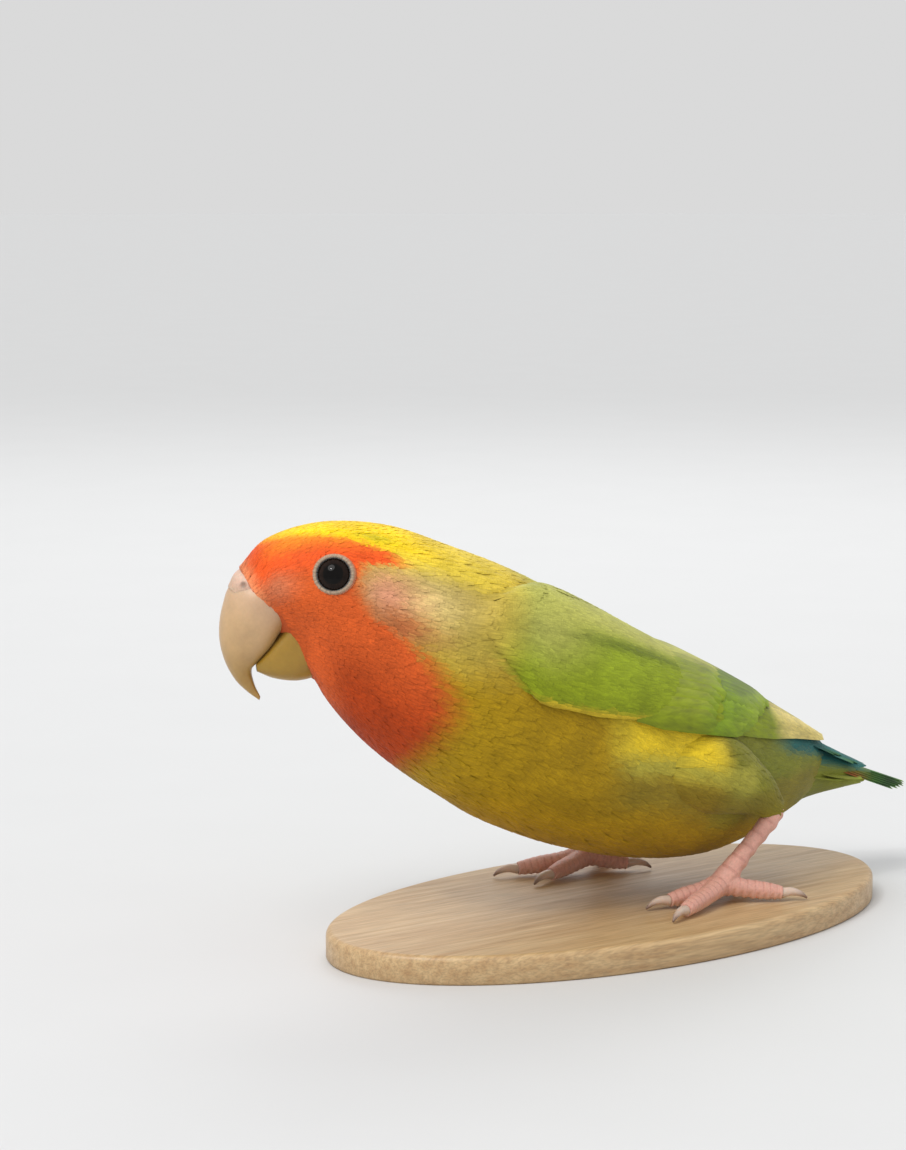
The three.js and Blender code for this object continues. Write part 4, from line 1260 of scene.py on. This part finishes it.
def make_small_coverts(name, side, seed):
    """Coverts over the wing's fore part, small and scale-like at its front and longer to its rear."""
    draw = np.random.default_rng(seed)
    ts, angles = [], []
    for i, t in enumerate(np.arange(ARM_START + 0.08, ARM_END, 0.066)):
        wide = arm_width(t) * 0.98
        _, chord = arm.scale(t, 0.5)
        count = int(wide * chord / np.interp(t, [0.0, ARM_END], [0.62, 0.85]))
        shares = np.concatenate([[0.0], (np.arange(count) + 0.5 + 0.5 * (i % 2)) / (count + 0.5), [1.0]])
        ts.append(np.full(count + 2, t))
        angles.append(0.5 + (shares - 0.5) * wide)
    t, a = np.concatenate(ts), np.concatenate(angles)
    t = np.maximum(t + draw.uniform(-0.025, 0.025, len(t)), ARM_START)
    inner = between(arm_width(t) - np.abs(2 * a - 1), 0.03, 0.1)
    a = a + draw.uniform(-0.012, 0.012, len(t)) * inner
    count = len(t)
    length = np.interp(t, [0, ARM_END], [3.0, 7.0]) * draw.uniform(0.9, 1.12, count)
    width = np.interp(t, [0, ARM_END], [1.3, 2.3]) * draw.uniform(0.9, 1.12, count) * lerp(0.7, 1.0, inner)
    heading = draw.normal(0, 5, count) * inner
    vanes = Vanes(arm, t, a, heading, length, width, 0.35, 0.15)
    colour = covert_colours(vanes.row_t, vanes.row_a + draw.normal(0, 0.004, (count, 1)))
    root_uv = body_uv(t + FIRST_WING_STATION, over_wing(t, a))
    vanes.build("wing_coverts_" + name, "wing_feathers", colour, root_uv, draw, seed, 0.1, side)


SHOULDER_SEED = 26
SHOULDER_ROWS = np.arange(-0.34, 0.1, 0.07)  # stations from the wing's front rim
SHOULDER_STEP = 0.022  # round the rim, as a share of half a turn
MANTLE_ROWS = [5.5, 4.0, 2.5, 1.0]  # degrees above the wing's upper rim
MANTLE_WAY = -24.0  # how far the mantle's feathers turn down over the wing


def make_shoulder_coat():
    """Neck and mantle feathers that lie over the front and upper rims of the wings."""
    draw = np.random.default_rng(SHOULDER_SEED)
    ts, angles, ways = [], [], []
    for i, off in enumerate(SHOULDER_ROWS):
        turn = np.arange(0.12, 0.84, SHOULDER_STEP) + SHOULDER_STEP / 2 * (i % 2)
        turn = turn + draw.uniform(-0.3, 0.3, len(turn)) * SHOULDER_STEP
        s = ARM_START + ARM_ROUND * (1 - np.sin(turn * math.pi)) + off + draw.uniform(-0.02, 0.02, len(turn))
        share = 0.5 - 0.5 * np.cos(turn * math.pi)
        ts += [s + FIRST_WING_STATION] * 2
        angles += [over_wing(s, share), 180 - over_wing(s, share)]
        ways.append(np.zeros(2 * len(s)))
    for i, off in enumerate(MANTLE_ROWS):
        s = np.arange(0.85, ARM_END, 0.075) + 0.037 * (i % 2)
        s = s + draw.uniform(-0.015, 0.015, len(s))
        upper = np.minimum(over_wing(s, 1.0) + off, 90.0)
        ts += [s + FIRST_WING_STATION] * 2
        angles += [upper, 180 - upper]
        ways += [np.full(len(s), MANTLE_WAY), np.full(len(s), -MANTLE_WAY)]
    t, a = np.concatenate(ts), np.concatenate(angles)
    count = len(t)
    length = draw.uniform(4.6, 6.2, count)
    width = draw.uniform(1.3, 1.8, count)
    heading = np.concatenate(ways) + draw.normal(0, 6, count)
    vanes = Vanes(Shoulder(), t, a, heading, length, width, coat_depth(t) + 0.2, 0.2)
    s, share, within = on_arm(vanes.row_t, vanes.row_a)
    colour = blend(markings(vanes.row_t, vanes.row_a), covert_colours(s, share), within)
    vanes.build("coat_shoulder", "neck_feathers", colour, body_uv(t, a), draw, SHOULDER_SEED)


# Tail
TAIL_ROOT = np.array([29.0, 0.0, 32.6])
TAIL_SLOPE = math.radians(20.0)
TAIL_LENGTH = 45.0
TAIL_ALONG = np.array([math.cos(TAIL_SLOPE), 0.0, -math.sin(TAIL_SLOPE)])
TAIL_UP = np.array([math.sin(TAIL_SLOPE), 0.0, math.cos(TAIL_SLOPE)])
TAIL_GREEN = srgb(72, 122, 50)
TAIL_DARK = srgb(44, 60, 48)
TAIL_TIP = srgb(150, 160, 70)
TAIL_ORANGE = srgb(196, 92, 40)
TAIL_SEED = 5
TAIL_PAIRS = 6
TAIL_START = 23  # how far along the tail its own feathers begin
TAIL_HALF = 2.7  # half a feather's width
TAIL_UNDERSIDE = 0.75
TAIL_COVERTS = {  # start and end along the tail, height, droop, half a width, spread to each side, how many
    "upper": (15, 34, 0.9, 0.4, 1.6, 4.6, 9),
    "upper_short": (11, 29, 1.5, 0.6, 1.6, 4.8, 9),
    "below": (17, 37, -3.2, -1.9, 2.1, 4.6, 6),
    "below_short": (13, 32, -4.4, -1.9, 2.1, 4.6, 6),
}


def tail_place(start, end, left, fan, half, up, droop=0.0):
    """The points of one tail feather, for shares along it and across it."""

    def place(along, across, high):
        run = lerp(start, end, along)[..., None]
        side = left + (run - start) * math.sin(fan) + (across * half)[..., None]
        level = up - 0.012 * side * side + high[..., None] - droop * along[..., None] ** 2
        return TAIL_ROOT + TAIL_ALONG * run - np.array([0, 1, 0]) * side + TAIL_UP * level

    return place


def tail_colours(row, share):
    """Colours over one feather, which is a share of the way out from the middle of its row."""
    if row == "tail":
        c = blend(plain(TAIL_GREEN, ALONG.shape), TAIL_ORANGE, (1 - between(ALONG, 0.15, 0.55)) * share * 0.8)
        c = blend(c, TAIL_DARK, spot(ALONG, 0 * ALONG, (0.72, 0.0), (0.2, 1.0)) * 0.7)
        return blend(c, TAIL_TIP, between(ALONG, 0.86, 0.98) * 0.6)
    if row.startswith("upper"):
        return blend(plain(RUMP, ALONG.shape), TAIL_GREEN, between(ALONG, 0.4, 1.0) * 0.8)
    return blend(plain(VENT, ALONG.shape), LIME, between(ALONG, 0.5, 1.0) * 0.45)


def make_tail():
    draw = np.random.default_rng(TAIL_SEED)
    places, feathers = [], []
    for k in range(TAIL_PAIRS - 1, -1, -1):
        for side in (1, -1):
            end = TAIL_LENGTH - 0.45 * k * (k * 0.4 + 1) + draw.uniform(-0.3, 0.3)
            left = side * (0.9 + 0.42 * k)
            fan = side * math.radians(0.8 + 1.25 * k)
            up = -0.34 * k + (0.15 if side > 0 else 0)
            lay = tail_place(TAIL_START, end, left, fan, TAIL_HALF, up)
            places.append((lay, TAIL_HALF, end - TAIL_START))
            feathers.append(("tail", k / (TAIL_PAIRS - 1)))
    for row, (start, end, up, droop, half, spread, count) in TAIL_COVERTS.items():
        for k in range(count):
            across = 2 * k / (count - 1) - 1
            level = up + 0.05 * (count - abs(2 * k - count + 1))
            finish = end - 7.0 * abs(across) + draw.uniform(-0.5, 0.5)
            lay = tail_place(start, finish, across * spread, math.radians(2.4 * across), half, level, droop)
            places.append((lay, half, finish - start))
            feathers.append((row, abs(across)))
    points, tips, faces, maps = flight_vanes(places, 7)
    colours = []
    for feather in feathers:
        light = draw.uniform(0.88, 1.1)
        c = tail_colours(*feather) * light
        colours += [c, c * TAIL_UNDERSIDE]
    mesh = (points, flipped([faces]), joined(colours))
    build("tail_feathers", *mesh, VANE_LOOK, "tail_feathers", ("tail",), flipped_maps(maps), tips)
    t, a = ring_grid(np.linspace(0, tail_base.last, 20), 40)
    build_tube("tail_root", tail_base.at(t, a, -0.7), plain(VENT, t.shape), SKIN_LOOK, "tail_feathers")


# The tail's base, a cone from the rump to the tail's own feathers, and the coat over it
tail_base = Tube(
    [
        (43.0, 30.4, 41.0, 16.4, 7.0),
        (49.0, 27.9, 46.8, 17.6, 5.6),
        (55.0, 25.0, 53.6, 18.2, 4.9),
        (61.0, 22.2, 60.4, 18.6, 4.0),
    ],
    2.0,
    2.0,
)


RUMP_SEED = 25


def make_rump_coat():
    draw = np.random.default_rng(RUMP_SEED)
    stations = np.arange(0.1, 1.9, 0.19)
    t, a = limb_roots(stations, np.interp(stations, [0.0, 2.3], [40, 24]).astype(int), draw)
    count = len(t)
    length = draw.uniform(6.0, 7.6, count)
    width = draw.uniform(1.9, 2.5, count)
    vanes = Vanes(tail_base, t, a, draw.normal(0, 5, count), length, width, 0.6, 0.1)
    side = folded(vanes.row_a)
    colour = blend(plain(VENT, side.shape), RUMP, between(side, 0, 30))
    colour = blend(colour, LIME, between(vanes.row_t, 1.4, 3.0) * (1 - between(side, -10, 20)) * 0.4)
    root_uv = np.stack([0.05 + 0.9 * t / tail_base.last, np.full(count, 0.99)], 1)
    vanes.build("coat_rump", "breast_feathers", colour, root_uv, draw, RUMP_SEED)


# Bill and cere
IVORY = srgb(196, 162, 120)
IVORY_PINK = srgb(204, 170, 144)
HORN_YELLOW = srgb(162, 125, 44)
LOWER_HORN = srgb(156, 122, 40)
# HOLLOW_SHADE is painted shade, for the gape under the upper bill and for the nostrils.
HOLLOW_SHADE = srgb(70, 40, 22)
NOSTRIL = np.array([-71.1, 3.9, 65.9])
NOSTRIL_DEEP = 0.8
CERE_TUCK = 0.3
DOME_RINGS = 6


def domed_grid(tube, rows, sides, start_dome, end_dome):
    """Rings over a tube with a rounded start and end: stations, angles and points."""
    caps = np.radians(np.linspace(85, 0, DOME_RINGS + 1)[:-1])
    middle = np.linspace(0, tube.last, rows)
    stations = np.concatenate([np.zeros(DOME_RINGS), middle, np.full(DOME_RINGS, tube.last)])
    shrink = np.concatenate([np.cos(caps), np.ones(rows), np.cos(caps[::-1])])
    push = np.concatenate([-start_dome * np.sin(caps), np.zeros(rows), end_dome * np.sin(caps[::-1])])
    t, a = ring_grid(stations, sides)
    return t, a, tube.at(t, a, 0.0, shrink[:, None], push[:, None])


def make_bill():
    t, a, rings = domed_grid(Tube(UPPER_BILL, 1.9, 3.0), 90, 64, 0.5, 0.15)
    below = -np.sin(np.radians(a))
    c = blend(plain(IVORY, t.shape), HORN_YELLOW, between(t, 2.0, 5.5) * 0.75)
    c = blend(c, IVORY_PINK, (1 - between(t, 0.5, 2.5)) * 0.8)
    c = blend(c, HORN_YELLOW, between(below, 0.2, 0.9) * 0.5)
    build_tube("bill_upper_horn", rings, c, BILL_LOOK, "bill", ("bill_upper",))

    t, a, rings = domed_grid(Tube(LOWER_BILL, 3.2, 2.4), 60, 56, 0.3, 0.5)
    below = -np.sin(np.radians(a))
    c = blend(plain(LOWER_HORN, t.shape), HORN_YELLOW, between(below, 0.0, 0.9) * 0.7)
    # Painted shade along the top of the lower bill, in the gape under the upper bill.
    c = blend(c, HOLLOW_SHADE, between(-below, 0.55, 0.95) * 0.9)
    build_tube("bill_lower_horn", rings, c, BILL_LOOK, "bill", ("bill_lower",))


def far_from_nostril(points):
    near_side = np.stack([points[..., 0], np.abs(points[..., 1]), points[..., 2]], -1)
    return np.linalg.norm(near_side - NOSTRIL, axis=-1)


def make_cere():
    t, _, points = domed_grid(Tube(CERE, 2.2, 2.2), 60, 96, 1.0, 0.8)
    inward = unit(points.mean((0, 1)) - points)
    pit = NOSTRIL_DEEP * (1 - smooth(far_from_nostril(points) / 0.8))
    points = points + inward * (CERE_TUCK + pit)[..., None]
    c = blend(plain(CERE_PINK, t.shape), IVORY_PINK, between(t, 0.8, 2.0))
    # Painted shade in the nostril pits.
    c = blend(c, HOLLOW_SHADE, (1 - between(far_from_nostril(points), 0.3, 0.85)) * 0.5)
    build_tube("cere_skin", points, c, CERE_LOOK, "cere", ("cere",))


# Eyes and lids
EYE_BLACK = srgb(9, 7, 6)
IRIS = srgb(30, 18, 12)
LID_PALE = srgb(168, 146, 122)
# LID_SHADE is painted shade, on the lids' inner side where they slope into the eye.
LID_SHADE = srgb(84, 84, 84)
LID_OUTER = srgb(206, 116, 76)
EYE_ACROSS = unit(np.cross([0, 0, 1.0], EYE_OUT))
EYE_UP = np.cross(EYE_OUT, EYE_ACROSS)
EYE_GRID = (48, 64)
LID_GRID = (160, 26)
LID_RING = 3.14  # the radius of the ring that the lids make, and half its width
LID_HALF = 0.52
LID_OVAL = 0.06  # how much wider both are in front and behind than above and below
LID_LEVEL = 1.98  # how far the ring lies out from the eye's middle, and half its height there
LID_HIGH = 0.62
LID_SLOPE = 0.35  # how much lower its outer edge lies


def round_eye(angle):
    """The way to each side round the eye, for an angle in radians."""
    return np.cos(angle)[..., None] * EYE_ACROSS + np.sin(angle)[..., None] * EYE_UP


def make_eyeball(name, side):
    rows, sides = EYE_GRID
    polar = np.linspace(0.02, math.pi - 0.02, rows)
    polar, around = np.meshgrid(polar, np.arange(sides) * 2 * math.pi / sides, indexing="ij")
    out = np.cos(polar)[..., None] * -EYE_OUT
    ring = np.sin(polar)[..., None] * round_eye(around)
    points = EYE_CENTRE + (out + ring) * EYE_RADIUS
    off_axis = np.degrees(math.pi - polar)
    iris = between(off_axis, 27, 31) * (1 - between(off_axis, 44, 50))
    c = blend(plain(EYE_BLACK, polar.shape), IRIS, iris)
    build_tube("eyeball_" + name, points, c, EYE_LOOK, "eye", ("eye_" + name,), side)


def make_lids(name, side):
    """One wrinkled ring round the eye."""
    spokes, rings = LID_GRID
    section = np.linspace(0, 2 * math.pi, rings, endpoint=False)
    around, section = np.meshgrid(np.arange(spokes) * 2 * math.pi / spokes, section, indexing="ij")
    fold = 0.03 * np.sin(around * 34 + 0.9 * np.sin(around * 5))
    fold = fold + 0.03 * np.sin(around * 21 + 1.3) + 0.02 * np.sin(around * 55)
    oval = LID_OVAL * np.cos(2 * around)
    out = np.cos(section) * (LID_HALF + oval)
    high = np.sin(section) * (LID_HIGH + fold * between(np.sin(section), 0.0, 0.7) * 2.0) + LID_LEVEL
    high = high - LID_SLOPE * between(out, 0.0, 0.8)
    reach = (LID_RING + oval + out)[..., None]
    points = EYE_CENTRE + round_eye(around) * reach + EYE_OUT * high[..., None]
    # Painted shade on the ring's inner side, towards the eye.
    c = blend(plain(LID_PALE, out.shape), LID_SHADE, between(-out, 0.05, 0.42))
    c = blend(c, LID_OUTER, between(out, 0.15, 0.5) * 0.8)
    # Painted light and shade on the wrinkles: lighter on their ridges and darker in their folds.
    c = c * (1 + fold)[..., None]
    faces = flipped([band_faces(spokes, rings, ring=True)])
    build("lids_" + name, points.reshape(-1, 3), faces, c.reshape(-1, 3), LID_LOOK, "cere", side=side)


# Feet and claws
FOOT_PINK = srgb(216, 162, 146)
FOOT_PALE = srgb(226, 184, 168)
FOOT_GROOVE = srgb(168, 108, 96)
CLAW_PALE = srgb(206, 184, 168)
CLAW_TIP = srgb(120, 98, 84)
# Each toe's way in plan, and its length without the claw
TOES = [((0.86, 0.42), 7.5), ((-0.98, 0.2), 10.5), ((-0.93, -0.37), 13.5), ((0.88, -0.5), 11.0)]
TOE_SHARES = [0.0, 0.35, 0.7, 1.0]
TOE_LEVELS = [3.2, 2.3, 1.75, 1.25]
TOE_RADII = [2.0, 1.6, 1.5, 1.15]
CLAW_LENGTH = 5.0
CLAW_SHARES = [0.0, 0.35, 0.7, 0.93]
CLAW_LEVELS = [1.25, 1.45, 1.0, 0.2]
CLAW_RADII = [0.95, 0.75, 0.5, 0.18]
SHANK_RADII = [0.9, 1.6, 1.5, 2.1]
SHANK_SCUTES = 9
TOE_SCUTE = 1.25  # the length of a scute on a toe
SCUTE_DEEP = 0.14  # its edge, as a share of the limb's radius
FOOT_VOXEL = 0.16


def low_path(start, way, length, shares, levels):
    """A path that is straight in plan, with its heights over the sole."""
    path = start + unit(np.array([*way, 0.0])) * length * np.array(shares)[:, None]
    path[:, 2] = SOLE + np.array(levels)
    return path


def ringed(limb, scutes, rows):
    """A limb with a stepped edge at each scute on its upper and front side, and how far into a groove each of
    its points is."""
    t, a = ring_grid(np.linspace(0, limb.last, rows), 24)
    phase = (t / limb.last * scutes) % 1.0
    step = smooth(phase / 0.18) * (1 - 0.55 * phase)
    upper = between(np.sin(np.radians(a)), -0.5, 0.3)
    pad = (1 - upper) * np.cos(phase * 2 * math.pi) * 0.5
    swell = (step * upper + pad) * SCUTE_DEEP * spline(limb.radii, t)[..., 0]
    p, f = closed_tube(limb.at(t, a, swell))
    groove = (1 - smooth(phase / 0.22) + between(phase, 0.9, 1.0)) * upper
    return p, f, np.concatenate([groove.ravel(), [0.0, 0.0]])


def make_foot(name, side):
    middle = (FOOT + ANKLE) / 2
    bodies = [ringed(Limb([ANKLE + HEEL, ANKLE, middle, FOOT], SHANK_RADII), SHANK_SCUTES, 90)]
    claws = []
    for way, length in TOES:
        toe = low_path(FOOT, way, length, TOE_SHARES, TOE_LEVELS)
        bodies.append(ringed(Limb(toe, TOE_RADII), int(length / TOE_SCUTE), 100))
        claws.append(Limb(low_path(toe[-1], way, CLAW_LENGTH, CLAW_SHARES, CLAW_LEVELS), CLAW_RADII))
    placed = [(on_side(p, side), sided(f, side)) for p, f, _ in bodies]
    points, faces = fused(placed, FOOT_VOXEL, 1)
    index, _ = nearest(np.concatenate([p for p, _ in placed]), points)
    groove = np.concatenate([g for _, _, g in bodies])[index]
    points[:, 2] = np.maximum(points[:, 2], SOLE)
    c = blend(plain(FOOT_PALE, (len(points),)), FOOT_PINK, between(points[:, 2], SOLE, SOLE + 2.2))
    c = blend(c, FOOT_GROOVE, groove * 0.4)
    build("foot_skin_" + name, points, faces, c, FOOT_LOOK, "foot_skin", ("foot_" + name,))
    for i, claw in enumerate(claws):
        t, a = ring_grid(np.linspace(0, claw.last, 30), 24)
        points, faces = closed_tube(claw.at(t, a))
        points[:, 2] = np.maximum(points[:, 2], SOLE)
        c = with_ends(blend(plain(CLAW_PALE, t.shape), CLAW_TIP, between(t / claw.last, 0.4, 1.0)))
        node = f"claw_{name}_{i + 1}"
        build(node + "_horn", points, faces, c, CLAW_LOOK, "claw", (node,), side=side, place=on_side)


# Base
BASE_EASE = 1.2  # the radius of its upper edge
BASE_FOOT = 0.4  # the bevel of its lower edge
BASE_SIDES = 220
EDGE_RINGS = 8
FLAT_UP = 0.98  # faces that face up or down more than this are shaded flat


def make_base():
    profile = [(BASE_FOOT, 0.0), (0.0, BASE_FOOT)]
    for q in np.radians(np.linspace(0, 90, EDGE_RINGS)):
        profile.append((BASE_EASE * (1 - math.cos(q)), BASE_THICK - BASE_EASE * (1 - math.sin(q))))
    around = np.arange(BASE_SIDES) * 2 * math.pi / BASE_SIDES
    rings = []
    for inset, level in profile:
        x = np.cos(around) * (BASE_LENGTH / 2 - inset)
        y = np.sin(around) * (BASE_WIDTH / 2 - inset)
        rings.append(np.stack([x, y, np.full(BASE_SIDES, level)], 1))
    points, faces = closed_tube(np.array(rings))
    piece = put_mesh("base_wood", points, flipped(faces))
    dress(piece, WOOD_LOOK, "stand_wood", "stand_base")
    for polygon in piece.data.polygons:
        polygon.use_smooth = abs(polygon.normal.z) < FLAT_UP


# Stage, lights and camera
def make_floor():
    look = Look("floor", Roughness=0.7)
    grain = look.noise(look.place(), 30.0, 4.0)
    look.colour(look.mix(grain, rgba(srgb(211, 212, 213)), rgba(srgb(214, 215, 216))))
    bpy.ops.mesh.primitive_circle_add(vertices=96, radius=6.0, fill_type="NGON")
    floor = bpy.context.object
    floor.name = "floor"
    floor.data.materials.append(look.material)


SUN_POWER = 1.4
SUN_SPREAD = math.radians(35.0)
SUN_COLOUR = (1.0, 0.985, 0.96)
SUN_FROM = (-70.0, 52.0)  # azimuth and elevation
SOFT_LIGHTS = {  # size in metres, power, azimuth, elevation and distance in metres
    "catch": (0.024, 0.45, -70.0, 46.0, 0.55),
    "rim": (0.5, 1.6, 140.0, 40.0, 0.9),
}
ROOM_LIGHT = 0.7


def soft_light(name, size, power, azimuth, elevation, distance):
    """A square soft light that looks at the bird, from an azimuth and elevation as the camera's."""
    light = bpy.data.lights.new(name, "AREA")
    light.shape = "SQUARE"
    light.size = size
    light.energy = power
    lamp = bpy.data.objects.new(name, light)
    lamp.location = Vector(direction(azimuth, elevation)) * distance + Vector(CAMERA_TARGET) * MM
    lamp.rotation_euler = (Vector(CAMERA_TARGET) * MM - lamp.location).to_track_quat("-Z", "Y").to_euler()
    bpy.context.scene.collection.objects.link(lamp)


def direction(azimuth, elevation):
    a, e = math.radians(azimuth), math.radians(elevation)
    return np.array([math.sin(a) * math.cos(e), -math.cos(a) * math.cos(e), math.sin(e)])


def make_lights():
    sun = bpy.data.lights.new("window", "SUN")
    sun.energy = SUN_POWER
    sun.angle = SUN_SPREAD
    sun.color = SUN_COLOUR
    lamp = bpy.data.objects.new("window", sun)
    lamp.rotation_euler = Vector(direction(*SUN_FROM)).to_track_quat("Z", "Y").to_euler()
    bpy.context.scene.collection.objects.link(lamp)
    for name, lamp_numbers in SOFT_LIGHTS.items():
        soft_light(name, *lamp_numbers)
    world = bpy.data.worlds.new("studio")
    world.use_nodes = True
    background = world.node_tree.nodes["Background"]
    background.inputs["Color"].default_value = (1.0, 1.0, 1.0, 1.0)
    background.inputs["Strength"].default_value = ROOM_LIGHT
    bpy.context.scene.world = world
    bpy.context.scene.view_settings.view_transform = "Standard"


def make_camera():
    camera = bpy.data.cameras.new("camera")
    camera.lens = FOCAL_PIXELS * SENSOR / LONG_SIDE
    camera.sensor_width = SENSOR
    camera.clip_start = 0.01
    eye = bpy.data.objects.new("camera", camera)
    away = Vector(direction(CAMERA_AZIMUTH, CAMERA_ELEVATION))
    eye.location = Vector(CAMERA_TARGET) * MM + away * CAMERA_DISTANCE * MM
    eye.rotation_euler = away.to_track_quat("Z", "Y").to_euler()
    bpy.context.scene.collection.objects.link(eye)
    bpy.context.scene.camera = eye


make_camera()
make_floor()
make_lights()
make_skin()
for coat_name, stretch in COATS.items():
    make_coat(coat_name, *stretch)
for side_name, side, seed in (("left", 1, 31), ("right", -1, 32)):
    make_thigh_coat(side_name, side, seed)
    make_foot(side_name, side)
    make_wing(side_name, side, seed + 10)
    make_wing_arm(side_name, side)
    make_small_coverts(side_name, side, seed + 11)
    make_eyeball(side_name, side)
    make_lids(side_name, side)
make_shoulder_coat()
make_tail()
make_rump_coat()
make_bill()
make_cere()
make_base()
